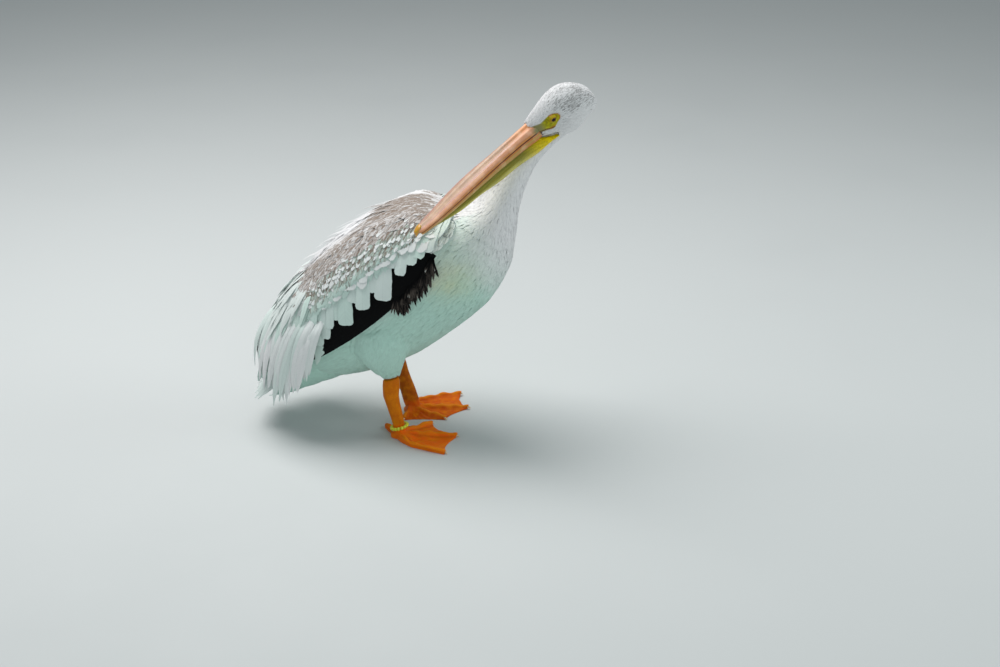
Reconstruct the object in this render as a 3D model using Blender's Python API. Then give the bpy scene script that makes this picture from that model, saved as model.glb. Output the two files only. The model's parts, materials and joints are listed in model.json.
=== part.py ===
"""A life-size American white pelican that stands and preens its right shoulder.

The bird faces +X, with +Y to its left and +Z up. The trunk and neck are one loft along a curved
spine, parted by thin cuts; the head, bill and eyes are built in the head's own frame, which is turned
back over the right shoulder; each foot is built in its own frame on the ground. All lengths are in
metres and all angles in degrees.
"""

from math import cos, exp, pi, radians, sin

import bmesh
import bpy
from mathutils import Euler, Matrix, Vector

# ---------------------------------------------------------------- driving dimensions
GAP = 0.0004  # clearance between two pieces that meet
RIGHT, LEFT = -1, 1  # the sign of Y on each side
WHOLE = "whole_"  # starts the names of the uncut meshes that cutters are grown from

CULMEN = 0.318  # bill length, from the feathers of the forehead to the nail's tip
HEAD_CENTRE = Vector((0.300, 0.015, 0.6897))  # midway between the eyes
HEAD_TURN = -145.0  # turned back over the right shoulder, about +Z
HEAD_PITCH = 33.0  # bill below the horizontal
EYE_RADIUS = 0.0085
EYE_OUT = 0.0245  # from the head's mid plane to the centre of an eye

TOE_LENGTHS = {"outer": 0.134, "middle": 0.125, "inner": 0.090, "hind": 0.052}
TOE_ANGLES = {"outer": -37.0, "middle": 0.0, "inner": 41.0, "hind": 122.0}  # from the middle toe, inwards
TOE_BOW = 36.0  # degrees by which the outer toe starts further out than its tip
CLAW_LENGTH = 0.0095
WEB_THICKNESS = 0.0024

BEADS = 15
BEAD_RADIUS = 0.0032
BAND_RADIUS = 0.0166

# Spine of trunk and neck, tail to head: x, y, z, half width, reach of the back, reach of the belly.
SPINE = (
    (-0.268, 0.000, 0.143, 0.018, 0.016, 0.020),
    (-0.242, 0.000, 0.161, 0.047, 0.038, 0.064),
    (-0.202, 0.000, 0.188, 0.074, 0.066, 0.098),
    (-0.155, 0.000, 0.219, 0.094, 0.098, 0.124),
    (-0.104, 0.000, 0.255, 0.108, 0.126, 0.143),
    (-0.047, 0.000, 0.298, 0.117, 0.146, 0.156),
    (0.007, 0.000, 0.340, 0.121, 0.150, 0.157),
    (0.059, 0.000, 0.374, 0.121, 0.146, 0.152),
    (0.108, 0.000, 0.402, 0.115, 0.130, 0.140),
    (0.148, 0.000, 0.430, 0.099, 0.096, 0.112),
    (0.177, 0.000, 0.464, 0.074, 0.054, 0.077),
    (0.1975, 0.004, 0.500, 0.052, 0.036, 0.055),
    (0.219, 0.014, 0.541, 0.041, 0.036, 0.041),
    (0.239, 0.027, 0.578, 0.036, 0.034, 0.036),
    (0.260, 0.037, 0.607, 0.033, 0.031, 0.032),
    (0.298, 0.044, 0.646, 0.030, 0.028, 0.0295),
    (0.325, 0.048, 0.666, 0.029, 0.028, 0.029),
    (0.352, 0.054, 0.681, 0.027, 0.027, 0.028),
    (0.372, 0.060, 0.697, 0.015, 0.015, 0.015),
)
NECK_BASE, NECK_MIDDLE = 10, 13  # rows of SPINE where the neck begins and where it is parted

# Outline of the body with its folded wings, tail to shoulder, in the same columns.
ENVELOPE = (
    (-0.300, 0.000, 0.112, 0.052, 0.034, 0.050),
    (-0.262, 0.000, 0.143, 0.086, 0.071, 0.080),
    (-0.214, 0.000, 0.178, 0.112, 0.102, 0.100),
    (-0.160, 0.000, 0.216, 0.130, 0.132, 0.120),
    (-0.104, 0.000, 0.255, 0.141, 0.148, 0.130),
    (-0.047, 0.000, 0.298, 0.148, 0.160, 0.140),
    (0.007, 0.000, 0.340, 0.150, 0.159, 0.140),
    (0.059, 0.000, 0.374, 0.147, 0.154, 0.135),
    (0.108, 0.000, 0.402, 0.137, 0.141, 0.120),
    (0.150, 0.000, 0.430, 0.116, 0.108, 0.100),
)
WING_THICKNESS = 0.030
COVERT_WIDTH = 0.034  # of one great covert at the wing's lower fringe

FINISHES = {  # colour, roughness
    "white_plumage": ((0.86, 0.85, 0.82), 0.8),
    "grey_plumage": ((0.66, 0.62, 0.57), 0.8),
    "black_plumage": ((0.02, 0.018, 0.017), 0.55),
    "bill_horn": ((0.85, 0.42, 0.24), 0.35),
    "nail_horn": ((0.88, 0.58, 0.08), 0.35),
    "pouch_skin": ((0.66, 0.55, 0.14), 0.45),
    "leg_skin": ((0.83, 0.31, 0.02), 0.5),
    "claw_horn": ((0.62, 0.44, 0.26), 0.45),
    "eye": ((0.05, 0.035, 0.02), 0.05),
    "bead_plastic": ((0.80, 0.84, 0.05), 0.3),
}


# ---------------------------------------------------------------- small tools
def clear_scene():
    for obj in list(bpy.data.objects):
        bpy.data.objects.remove(obj)


def finish(name):
    """The Principled material of that finish, made once."""
    found = bpy.data.materials.get(name)
    if found:
        return found
    colour, roughness = FINISHES[name]
    made = bpy.data.materials.new(name)
    made.use_nodes = True
    shader = made.node_tree.nodes["Principled BSDF"]
    shader.inputs["Base Color"].default_value = (*colour, 1.0)
    shader.inputs["Roughness"].default_value = roughness
    return made


def empty(name, place, parent=None, rotation=(0, 0, 0)):
    made = bpy.data.objects.new(name, None)
    bpy.context.scene.collection.objects.link(made)
    made.parent = parent
    made.location = place
    made.rotation_euler = rotation
    return made


def row_at(rows, t):
    """The row at place t, 0 at the first row and len - 1 at the last, on a smooth curve through all."""
    t = min(max(t, 0.0), len(rows) - 1.0)
    i = min(int(t), len(rows) - 2)
    f = t - i
    a, b, c, d = (rows[min(max(k, 0), len(rows) - 1)] for k in (i - 1, i, i + 1, i + 2))
    return [
        q + 0.5 * f * (r - p + f * (2 * p - 5 * q + 4 * r - s + f * (3 * (q - r) + s - p)))
        for p, q, r, s in zip(a, b, c, d)
    ]


def body_point(rows, t, turn, extra=0.0):
    """A point of the loft at place t; turn goes from the back (0) by the right side (90) to the belly."""
    x, y, z, width, back, belly = row_at(rows, t)
    ahead = Vector(row_at(rows, t + 0.1)[:3]) - Vector(row_at(rows, t - 0.1)[:3])
    side = Vector((ahead.y, -ahead.x, 0)).normalized()
    up = side.cross(ahead).normalized()
    a = radians(turn)
    reach = back if cos(a) > 0 else belly
    out = side * (sin(a) * (width + extra)) + up * (cos(a) * (reach + extra))
    return Vector((x, y, z)) + out


def bump(t):
    """0 at both ends of 0..1 and 1 in the middle."""
    return sin(pi * min(max(t, 0.0), 1.0))


def mix(a, b, t):
    return a + (b - a) * t


def place_mesh(name, points, faces, finish_name, parent):
    mesh = bpy.data.meshes.new(name)
    mesh.from_pydata([tuple(p) for p in points], [], faces)
    work = bmesh.new()
    work.from_mesh(mesh)
    bmesh.ops.recalc_face_normals(work, faces=work.faces)
    if work.calc_volume(signed=True) < 0:
        bmesh.ops.reverse_faces(work, faces=work.faces)
    bmesh.ops.triangulate(work, faces=work.faces)
    work.to_mesh(mesh)
    work.free()
    mesh.materials.append(finish(finish_name))
    mesh.shade_smooth()
    mesh.set_sharp_from_angle(angle=radians(50))
    whole = mesh.copy()
    whole.name = WHOLE + name
    made = bpy.data.objects.new(name, mesh)
    bpy.context.scene.collection.objects.link(made)
    made.parent = parent
    return made


def loft(name, rings, finish_name, parent):
    """One closed body through rings of equally many points, with a flat fan over each end."""
    n = len(rings[0])
    points = [p for ring in rings for p in ring]
    faces = [
        (i * n + k, i * n + (k + 1) % n, (i + 1) * n + (k + 1) % n, (i + 1) * n + k)
        for i in range(len(rings) - 1)
        for k in range(n)
    ]
    for ring, first in ((rings[0], 0), (rings[-1], (len(rings) - 1) * n)):
        middle = sum((Vector(p) for p in ring), Vector()) / n
        faces += [(first + k, first + (k + 1) % n, len(points)) for k in range(n)]
        points.append(middle)
    return place_mesh(name, points, faces, finish_name, parent)


def slab(name, outer, inner, rows, columns, finish_name, parent):
    """One closed body between two sheets. outer(u, v) and inner(u, v) give points for u and v in 0..1."""
    grid = [(i / rows, k / columns) for i in range(rows + 1) for k in range(columns + 1)]
    points = [outer(u, v) for u, v in grid] + [inner(u, v) for u, v in grid]
    wide, half = columns + 1, len(grid)
    faces = []
    for i in range(rows):
        for k in range(columns):
            a = i * wide + k
            faces.append((a, a + 1, a + 1 + wide, a + wide))
            faces.append((half + a, half + a + wide, half + a + 1 + wide, half + a + 1))
    rim = [k for k in range(columns)]
    rim += [i * wide + columns for i in range(rows)]
    rim += [rows * wide + k for k in range(columns, 0, -1)]
    rim += [i * wide for i in range(rows, 0, -1)]
    for k, a in enumerate(rim):
        b = rim[(k + 1) % len(rim)]
        faces.append((a, b, half + b, half + a))
    return place_mesh(name, points, faces, finish_name, parent)


def tube(name, path, radii, sides, finish_name, parent, flatten=1.0, lean=Vector((0, 1, 0))):
    """A tapered tube along path. flatten narrows it across, the way that lean points."""
    rings = []
    for i, p in enumerate(path):
        ahead = (path[min(i + 1, len(path) - 1)] - path[max(i - 1, 0)]).normalized()
        across = (lean - ahead * lean.dot(ahead)).normalized()
        other = ahead.cross(across)
        ring = []
        for k in range(sides):
            a = 2 * pi * k / sides
            ring.append(p + across * (cos(a) * radii[i] * flatten) + other * (sin(a) * radii[i]))
        rings.append(ring)
    return loft(name, rings, finish_name, parent)


def grown_copy(obj, gap):
    """A hidden cutter: the whole shape of the piece, before any room was cut in it, grown by the gap."""
    mesh = bpy.data.meshes[WHOLE + obj.name].copy()
    work = bmesh.new()
    work.from_mesh(mesh)
    work.normal_update()
    moves = [(v, v.normal * (gap * min(v.calc_shell_factor(), 2.5))) for v in work.verts]
    for v, move in moves:
        v.co += move
    work.to_mesh(mesh)
    work.free()
    cutter = bpy.data.objects.new("cutter_" + obj.name, mesh)
    bpy.context.scene.collection.objects.link(cutter)
    cutter.parent = obj.parent
    cutter.hide_render = True
    cutter.display_type = "WIRE"
    return cutter


def keep_largest(work):
    """Deletes every separate scrap but the body with the most volume."""
    left, bodies = set(work.faces), []
    while left:
        grown, front = set(), [left.pop()]
        while front:
            face = front.pop()
            grown.add(face)
            for edge in face.edges:
                for other in edge.link_faces:
                    if other in left:
                        left.remove(other)
                        front.append(other)
        volume = sum(f.calc_center_median().dot(f.normal) * f.calc_area() for f in grown)
        bodies.append((volume, grown))
    bodies.sort(key=lambda body: -body[0])
    scraps = [f for _, body in bodies[1:] for f in body]
    bmesh.ops.delete(work, geom=scraps, context="FACES")


def make_room(obj, *others):
    """Cuts the other pieces, with a clearance, out of obj."""
    for other in others:
        cutter = grown_copy(other, GAP)
        cut = obj.modifiers.new("room_for_" + other.name, "BOOLEAN")
        cut.operation = "DIFFERENCE"
        cut.object = cutter
        bpy.context.view_layer.update()
        graph = bpy.context.evaluated_depsgraph_get()
        carved = bpy.data.meshes.new_from_object(obj.evaluated_get(graph))
        obj.modifiers.clear()
        work = bmesh.new()
        work.from_mesh(carved)
        bmesh.ops.dissolve_degenerate(work, dist=1e-6, edges=work.edges)
        work.normal_update()
        keep_largest(work)
        work.to_mesh(carved)
        work.free()
        obj.data = carved
        bpy.data.objects.remove(cutter)


# ---------------------------------------------------------------- trunk and neck
def spine_loft(name, start, end, rings, sides, bird):
    """A length of the trunk and neck, from place start to place end of SPINE."""
    made = []
    for i in range(rings):
        t = mix(start, end, i / (rings - 1))
        made.append([body_point(SPINE, t, 360 * k / sides) for k in range(sides)])
    return loft(name, made, "white_plumage", bird)


def make_trunk_and_neck(bird):
    cut = 0.012  # the parting cuts, in rows of the spine: about half a millimetre
    trunk = spine_loft("trunk", 0.0, NECK_BASE - cut, 17, 22, bird)
    lower = spine_loft("neck_lower", NECK_BASE, NECK_MIDDLE - cut, 7, 18, bird)
    upper = spine_loft("neck_upper", NECK_MIDDLE, len(SPINE) - 1, 9, 16, bird)
    return trunk, lower, upper


# ---------------------------------------------------------------- head, eyes and bill, in the head's frame
# x is ahead along the bill's cutting edge, y to the head's left, z up; the origin is midway between the eyes.
HEAD = (  # x, height of the axis, half width, reach up, reach down
    (-0.105, -0.030, 0.010, 0.011, 0.012),
    (-0.101, -0.029, 0.021, 0.024, 0.025),
    (-0.088, -0.023, 0.030, 0.037, 0.038),
    (-0.066, -0.012, 0.036, 0.043, 0.048),
    (-0.040, -0.004, 0.0362, 0.0415, 0.050),
    (-0.012, -0.002, 0.0318, 0.0365, 0.044),
    (0.014, -0.003, 0.0262, 0.0305, 0.033),
    (0.038, -0.003, 0.0210, 0.0245, 0.024),
    (0.052, -0.003, 0.0168, 0.0185, 0.016),
)
BILL_START, BILL_END = 0.030, 0.041 + CULMEN
# Share of the length, half width, height of the ridge, height of the cutting edge, depth of the lower jaw.
BILL = (
    (0.00, 0.0185, 0.0162, -0.0075, 0.0155),
    (0.16, 0.0188, 0.0156, -0.0045, 0.0145),
    (0.34, 0.0205, 0.0146, -0.0038, 0.0125),
    (0.52, 0.0240, 0.0130, -0.0038, 0.0110),
    (0.69, 0.0236, 0.0082, -0.0064, 0.0095),
    (0.86, 0.0195, 0.0010, -0.0092, 0.0075),
    (0.95, 0.0150, -0.0010, -0.0105, 0.0055),
    (1.00, 0.0085, -0.0035, -0.0110, 0.0040),
)
POUCH_START, POUCH_END = -0.020, 0.330


def bill_row(x):
    """(half width, ridge, cutting edge, depth of the lower jaw) of the bill at x."""
    share = min(max((x - BILL_START) / (BILL_END - BILL_START), 0.0), 1.0)
    for i in range(len(BILL) - 1):
        if share <= BILL[i + 1][0]:
            break
    f = (share - BILL[i][0]) / (BILL[i + 1][0] - BILL[i][0])
    return row_at(BILL, i + f)[1:]


def make_head(frame):
    sides, rings = 18, 12
    made = []
    for i in range(rings):
        x, axis, width, up, down = row_at(HEAD, (len(HEAD) - 1) * i / (rings - 1))
        ring = []
        for k in range(sides):
            a = 2 * pi * k / sides
            ring.append(Vector((x, width * sin(a), axis + (up if cos(a) > 0 else down) * cos(a))))
        made.append(ring)
    return loft("head", made, "white_plumage", frame)


def make_upper_bill(frame):
    """The upper mandible: a low ridge between broad flat flanks that turn down to the cutting edges."""
    profile = ((1.0, 0.0), (0.98, 0.34), (0.74, 0.62), (0.40, 0.76), (0.20, 0.94), (0.0, 1.0))
    rings = []
    count = 12
    for i in range(count):
        x = mix(BILL_START, BILL_END - 0.006, i / (count - 1))
        width, ridge, edge, _ = bill_row(x)
        half = [Vector((x, width * a, mix(edge, ridge, h))) for a, h in profile]
        other = [Vector((p.x, -p.y, p.z)) for p in half[-2::-1]]
        palate = [Vector((x, y * width, edge + 0.0012)) for y in (-0.5, 0.5)]
        rings.append(half + other + palate)
    return loft("bill_upper", rings, "bill_horn", frame)


def make_nail(frame):
    """The hooked nail over the bill's tip."""
    rings = []
    for x, width, top, bottom in (
        (BILL_END - 0.022, 0.0055, 0.0012, -0.0060),
        (BILL_END - 0.014, 0.0080, 0.0002, -0.0075),
        (BILL_END - 0.006, 0.0075, -0.0018, -0.0125),
        (BILL_END, 0.0052, -0.0052, -0.0165),
        (BILL_END + 0.0015, 0.0024, -0.0105, -0.0190),
    ):
        middle, half = (top + bottom) / 2, (top - bottom) / 2
        ring = []
        for k in range(10):
            a = 2 * pi * k / 10
            ring.append(Vector((x, width * sin(a), middle + half * cos(a))))
        rings.append(ring)
    return loft("bill_nail", rings, "nail_horn", frame)


def make_lower_bill(frame):
    """The lower mandible, closed against the upper one."""
    rings = []
    count = 11
    for i in range(count):
        x = mix(BILL_START - 0.004, BILL_END - 0.012, i / (count - 1))
        width, _, edge, depth = bill_row(x)
        top = edge - GAP * 1.5
        outline = ((1.0, 0.0), (1.02, 0.35), (0.92, 0.8), (0.72, 1.0))
        half = [Vector((x, width * a, top - depth * d)) for a, d in outline]
        other = [Vector((p.x, -p.y, p.z)) for p in half[::-1]]
        rings.append(half + other)
    return loft("bill_lower", rings, "bill_horn", frame)


# How far the pouch's upper edge drops under the jaw, every 21 mm ahead of its rear end.
THROAT = ((0.0355,), (0.0335,), (0.0235,), (0.0125,), (0.0045,), (0.0,))


def make_pouch(frame):
    """The empty pouch, drawn up between the two arms of the lower mandible and running back to the throat."""
    rings = []
    count = 11
    for i in range(count):
        share = i / (count - 1)
        x = mix(POUCH_START, POUCH_END, share)
        width, _, edge, depth = bill_row(x)
        top = edge - 0.004
        fall = depth + 0.032 * (1 - share ** 2.4) ** 0.6 - 0.004
        wide = width * mix(0.90, 0.70, share)
        if share < 0.2:
            wide *= 0.55 + 0.45 * share / 0.2
            fall *= 0.92 + 0.08 * share / 0.2
        low = row_at(THROAT, min(max((x + 0.020) / 0.021, 0.0), 5.0))[0]
        top -= low
        fall -= low
        ring = []
        for k in range(10):
            a = 2 * pi * k / 10
            drop = 0.5 - 0.5 * cos(a)
            ring.append(Vector((x, wide * sin(a) * (1 - 0.35 * drop * drop), top - fall * drop)))
        rings.append(ring)
    return loft("bill_pouch", rings, "pouch_skin", frame)


def make_eye(name, side, frame):
    rings = []
    for i in range(1, 7):
        a = pi * i / 7
        y = side * (EYE_OUT - EYE_RADIUS * cos(a))
        r = EYE_RADIUS * sin(a)
        ring = [Vector((r * cos(pi * k / 5), y, r * sin(pi * k / 5))) for k in range(10)]
        rings.append(ring)
    return loft(name, rings, "eye", frame)


# ---------------------------------------------------------------- wings
# Places along ENVELOPE are in its rows; turns are as in body_point. The left wing is the right one mirrored.
WING_REAR, WING_FRONT = 0.9, 8.9
FLIGHT_REAR, FLIGHT_FRONT = 0.15, 7.95
FLIGHT_EDGE = ((104.0,), (104.5,), (104.0,), (103.0,), (101.5,), (99.5,), (96.5,), (90.5,), (77.0,))


def mirrored(point, side):
    """The right side's point, or its mirror image on the left."""
    return point if side == RIGHT else Vector((point.x, -point.y, point.z))


def flight_edge(t):
    """Turn of the lower edge of the folded flight feathers."""
    return row_at(FLIGHT_EDGE, t)[0]


def covert_edge(t):
    """Turn of the fringe of the great coverts, which hang over the flight feathers in square tips."""
    within = (t - WING_REAR) / (WING_FRONT - WING_REAR)
    tips = abs(((t * 0.064 / COVERT_WIDTH) % 1.0) - 0.5) * 6.0
    return flight_edge(t) - 7.0 - 13.0 * bump(within) ** 0.8 - tips


def top_edge(t):
    """Turn of the wing's upper edge, beside the feathers of the back."""
    return mix(3.0, 24.0, (t / 9.0) ** 1.6)


def make_wing(name, side, bird):
    """The folded wing from the scapulars down to the coverts' fringe."""

    def at(u, v, depth):
        t = mix(WING_REAR, WING_FRONT, u)
        rounding = max(0.0, (u - 0.86) / 0.14) ** 2
        low = covert_edge(t) - 12 * rounding
        high = top_edge(t) + 10 * rounding
        drop = 0.012 * (abs(2 * v - 1) ** 3) + 0.016 * rounding
        return mirrored(body_point(ENVELOPE, t, mix(high, low, v), -drop - depth), side)

    def outer(u, v):
        return at(u, v, 0.0)

    def inner(u, v):
        return at(u, v, WING_THICKNESS - 0.016 * abs(2 * v - 1) ** 3)

    return slab(name, outer, inner, 28, 4, "grey_plumage", bird)


def make_flight_feathers(name, side, bird):
    """The black primaries and secondaries, stacked along the wing's lower edge and pointed behind."""

    def at(u, v, depth):
        t = mix(FLIGHT_REAR, FLIGHT_FRONT, u)
        low = flight_edge(t)
        point = min(1.0, u / 0.22)
        high = low - mix(6.0, 44.0, point ** 0.7)
        return mirrored(body_point(ENVELOPE, t, mix(high, low, v), -depth), side)

    def outer(u, v):
        return at(u, v, 0.013 + 0.003 * v)

    def inner(u, v):
        return at(u, v, 0.013 + mix(0.006, 0.016, min(1.0, u / 0.3)))

    return slab(name, outer, inner, 15, 3, "black_plumage", bird)


def make_tertials(name, side, bird):
    """The long white inner feathers, which hang from the wing's rear past its tip."""
    roots = (
        Vector((-0.230, -0.020, 0.300)),
        Vector((-0.180, -0.110, 0.290)),
        Vector((-0.130, -0.136, 0.275)),
    )
    tips = (
        Vector((-0.312, -0.038, 0.104)),
        Vector((-0.248, -0.104, 0.064)),
        Vector((-0.166, -0.127, 0.148)),
    )
    feathers = 5

    def line(ends, v):
        a, b, c = ends
        return a * (2 * (v - 0.5) * (v - 1)) + b * (4 * v * (1 - v)) + c * (2 * v * (v - 0.5))

    def at(u, v, depth):
        finger = abs(((v * feathers) % 1.0) - 0.5) * 2 if 0 < v < 1 else 1.0
        reach = u * (1.0 - 0.10 * finger * u)
        if v < 0.35:
            reach *= 0.86
        root, tip = line(roots, v), line(tips, v)
        out = Vector((-0.55 * (1 - v), -0.35 - 0.65 * v, 0.05)).normalized()
        bulge = 0.012 * bump(min(1.0, reach * 0.9) ** 0.8)
        return mirrored(root.lerp(tip, reach) + out * (bulge - depth), side)

    def outer(u, v):
        return at(u, v, 0.0)

    def inner(u, v):
        return at(u, v, mix(0.016, 0.004, u))

    return slab(name, outer, inner, 5, 2 * feathers, "white_plumage", bird)


def make_tail(bird):
    """The short fan of tail feathers."""
    feathers = 7

    def at(u, v, depth):
        across = 2 * v - 1
        finger = abs(((v * feathers) % 1.0) - 0.5) * 2 if 0 < v < 1 else 1.0
        root = Vector((-0.222, 0.036 * across, 0.178))
        tip = Vector((-0.325, 0.074 * across, 0.064 + 0.012 * across * across))
        reach = u * (1.0 - 0.05 * finger * u - 0.05 * across * across * u)
        under = Vector((-0.74, 0.0, -0.64)).cross(Vector((0, 1, 0))).normalized()
        arch = 0.008 * across * across
        return root.lerp(tip, reach) + under * (arch + depth)

    def outer(u, v):
        return at(u, v, 0.0)

    def inner(u, v):
        return at(u, v, mix(0.026, 0.003, u))

    return slab("tail", outer, inner, 3, 2 * feathers, "white_plumage", bird)


# ---------------------------------------------------------------- legs and feet
FEET = {  # ankle on the ground, heading of the middle toe, how far the toes are spread
    RIGHT: (Vector((0.000, -0.074, 0.0)), 4.0, 1.0),
    LEFT: (Vector((0.006, 0.057, 0.0)), 11.0, 0.88),
}
HOCK_HEIGHT = 0.124
HOCKS = {RIGHT: Vector((-0.0126, -0.066, HOCK_HEIGHT)), LEFT: Vector((-0.021, 0.060, HOCK_HEIGHT))}
ANKLE_AHEAD = {RIGHT: 0.0055, LEFT: 0.006}  # from the foot's own centre to the foot of the shank
SHANK = {  # share of the way down, offset to the front, radius
    RIGHT: ((0.0, 0.0, 0.0186), (0.12, -0.0026, 0.0188), (0.28, -0.0061, 0.0174), (0.45, -0.0045, 0.0154),
            (0.65, -0.0018, 0.0142), (0.86, 0.0, 0.0128), (1.0, 0.0, 0.0130)),
    LEFT: ((0.0, 0.0, 0.0150), (0.12, 0.0, 0.0158), (0.28, -0.0012, 0.0160), (0.45, -0.0010, 0.0164),
           (0.65, 0.0006, 0.0170), (0.86, 0.0004, 0.0176), (1.0, 0.0, 0.0160)),
}


def make_thigh(name, side, bird):
    """The feathered thigh and upper shin, which end just above the heel joint."""
    hock = HOCKS[side]
    top = Vector((hock.x - 0.030, side * 0.070, 0.250))
    end = hock + Vector((0.0, 0.0, 0.006))
    path = [top.lerp(end, t) for t in (0.0, 0.25, 0.5, 0.7, 0.85, 1.0)]
    radii = [0.062, 0.066, 0.056, 0.042, 0.030, 0.0195]
    return tube(name, path, radii, 14, "white_plumage", bird, flatten=0.78)


def make_shank(name, side, bird):
    """The bare shank, deeper than it is wide, with its swollen heel joint."""
    hock = HOCKS[side]
    ankle = FEET[side][0] + Vector((ANKLE_AHEAD[side], 0.0, 0.010))
    path = [hock + Vector((-0.002, 0, 0.020))]
    path += [hock.lerp(ankle, t) + Vector((ahead, 0, 0)) for t, ahead, _ in SHANK[side]]
    radii = [0.0135] + [radius for _, _, radius in SHANK[side]]
    return tube(name, path, radii, 10, "leg_skin", bird, flatten=0.66)


def toe_directions(side):
    """{toe: (unit direction on the ground, length)} in the foot's frame, with the middle toe along +X."""
    spread = FEET[side][2]
    found = {}
    for toe, angle in TOE_ANGLES.items():
        a = radians(angle * spread) * -side
        found[toe] = (Vector((cos(a), sin(a), 0)), TOE_LENGTHS[toe])
    return found


def foot_edge(side, angle):
    """How far the foot reaches at an angle, counted inwards from the middle toe, in degrees."""
    spread = FEET[side][2]
    half_toe, half_hind, heel = 0.0055, 0.0072, 0.0150
    toes = sorted((TOE_ANGLES[t] * spread, TOE_LENGTHS[t]) for t in TOE_ANGLES)
    first, last = toes[0], toes[-1]
    for off, length, half in ((first[0] - angle, first[1], half_toe), (angle - last[0], last[1], half_hind)):
        if off > 0:
            return max(heel, min(length, half / sin(radians(min(off, 90.0)))))
    for (a, la), (b, lb) in zip(toes, toes[1:]):
        if a <= angle <= b:
            wide = sin(radians(b - a))
            chord = la * lb * wide / (la * sin(radians(angle - a)) + lb * sin(radians(b - angle)) + 1e-9)
            return chord * (1 - 0.07 * bump((angle - a) / (b - a)))
    return heel


def foot_height(side, point):
    """Height of the foot's upper surface over the flat sole."""
    height = WEB_THICKNESS
    for way, length in toe_directions(side).values():
        along = min(max(point.dot(way), 0.0), length)
        away = (point - way * along).length
        share = along / length
        height += mix(0.0095, 0.0050, share) * exp(-((away / 0.0058) ** 2))
    return min(height, 0.012) + 0.012 * exp(-((point.length / 0.014) ** 2))


def bowed(side, point, angle):
    """Turns a point of the foot outwards about the ankle: the outer toe bows out and back in to its tip."""
    outer = -TOE_ANGLES["outer"] * FEET[side][2]
    share = min(max(min(-angle / outer, (130.0 + angle) / 50.0), 0.0), 1.0)
    turn = TOE_BOW * share * max(0.0, 1 - point.length / TOE_LENGTHS["outer"]) ** 1.2
    return Matrix.Rotation(radians(turn) * side, 3, "Z") @ point


def make_foot(name, side, frame):
    """The webbed foot: a flat sole, four toes standing up as ridges, and thin web between them."""
    spread = FEET[side][2]
    toes = sorted(angle * spread for angle in TOE_ANGLES.values())
    angles = [toes[0] - off for off in (110, 60, 25, 10, 5, 2.3)]
    for a, b in zip(toes, toes[1:]):
        steps = 6
        angles += [mix(a, b, k / steps) for k in range(steps)]
    angles += [toes[-1] + off for off in (0, 6, 12, 30, 60, 90)]
    shares = (0.14, 0.40, 0.72, 1.0)
    tops, soles = [Vector((0, 0, foot_height(side, Vector())))], [Vector((0, 0, 0))]
    for share in shares:
        for angle in angles:
            a = radians(angle) * -side
            flat = Vector((cos(a), sin(a), 0)) * (foot_edge(side, angle) * share)
            sole = bowed(side, flat, angle)
            tops.append(sole + Vector((0, 0, foot_height(side, flat))))
            soles.append(sole)
    n, half = len(angles), len(tops)
    faces = []
    for first in (0, half):
        faces += [(first, first + 1 + k, first + 1 + (k + 1) % n) for k in range(n)]
        for i in range(len(shares) - 1):
            for k in range(n):
                a, b = first + 1 + i * n + k, first + 1 + i * n + (k + 1) % n
                faces.append((a, a + n, b + n, b))
    rim = 1 + (len(shares) - 1) * n
    faces += [(rim + k, rim + (k + 1) % n, half + rim + (k + 1) % n, half + rim + k) for k in range(n)]
    return place_mesh(name, tops + soles, faces, "leg_skin", frame)


def make_claw(name, side, toe, frame):
    """A short curved claw at a toe's tip."""
    way, length = toe_directions(side)[toe]
    root = way * (length - 0.004) + Vector((0, 0, 0.0050))
    path = [root + way * (CLAW_LENGTH * t) + Vector((0, 0, 0.0010 - 0.0042 * t * t)) for t in (0.0, 0.6, 1.0)]
    across = Vector((-way.y, way.x, 0))
    return tube(name, path, [0.0026, 0.0021, 0.0007], 6, "claw_horn", frame, lean=across)


def make_band(bird):
    """The ring of plastic beads that lies loose on the right ankle."""
    tilt = Matrix.Rotation(radians(-14), 3, "Y") @ Matrix.Rotation(radians(-2), 3, "X")
    middle = FEET[RIGHT][0] + Vector((0.0040, 0.0008, 0.0234))
    steps, sides = BEADS * 2, 6
    rings = []
    for i in range(steps):
        a = 2 * pi * i / steps
        out = Vector((cos(a), sin(a), 0))
        thick = BEAD_RADIUS * (1.0 if i % 2 else 0.6)
        ring = []
        for k in range(sides):
            b = 2 * pi * k / sides
            p = out * (BAND_RADIUS + thick * cos(b)) + Vector((0, 0, thick * sin(b)))
            ring.append(middle + tilt @ p)
        rings.append(ring)
    points = [p for ring in rings for p in ring]
    faces = []
    for i in range(steps):
        for k in range(sides):
            a, b = i * sides, ((i + 1) % steps) * sides
            faces.append((a + k, a + (k + 1) % sides, b + (k + 1) % sides, b + k))
    return place_mesh("leg_band", points, faces, "bead_plastic", bird)


# ---------------------------------------------------------------- the whole bird
def stand_on_origin(bird):
    """Moves the bird so that its box stands on the origin, at the middle of its base."""
    bpy.context.view_layer.update()
    corners = [
        obj.matrix_world @ vertex.co
        for obj in bpy.data.objects
        if obj.type == "MESH" and not obj.hide_render
        for vertex in obj.data.vertices
    ]
    low = [min(p[k] for p in corners) for k in range(3)]
    high = [max(p[k] for p in corners) for k in range(3)]
    bird.location = (-(low[0] + high[0]) / 2, -(low[1] + high[1]) / 2, -low[2])
    bpy.context.view_layer.update()


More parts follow.
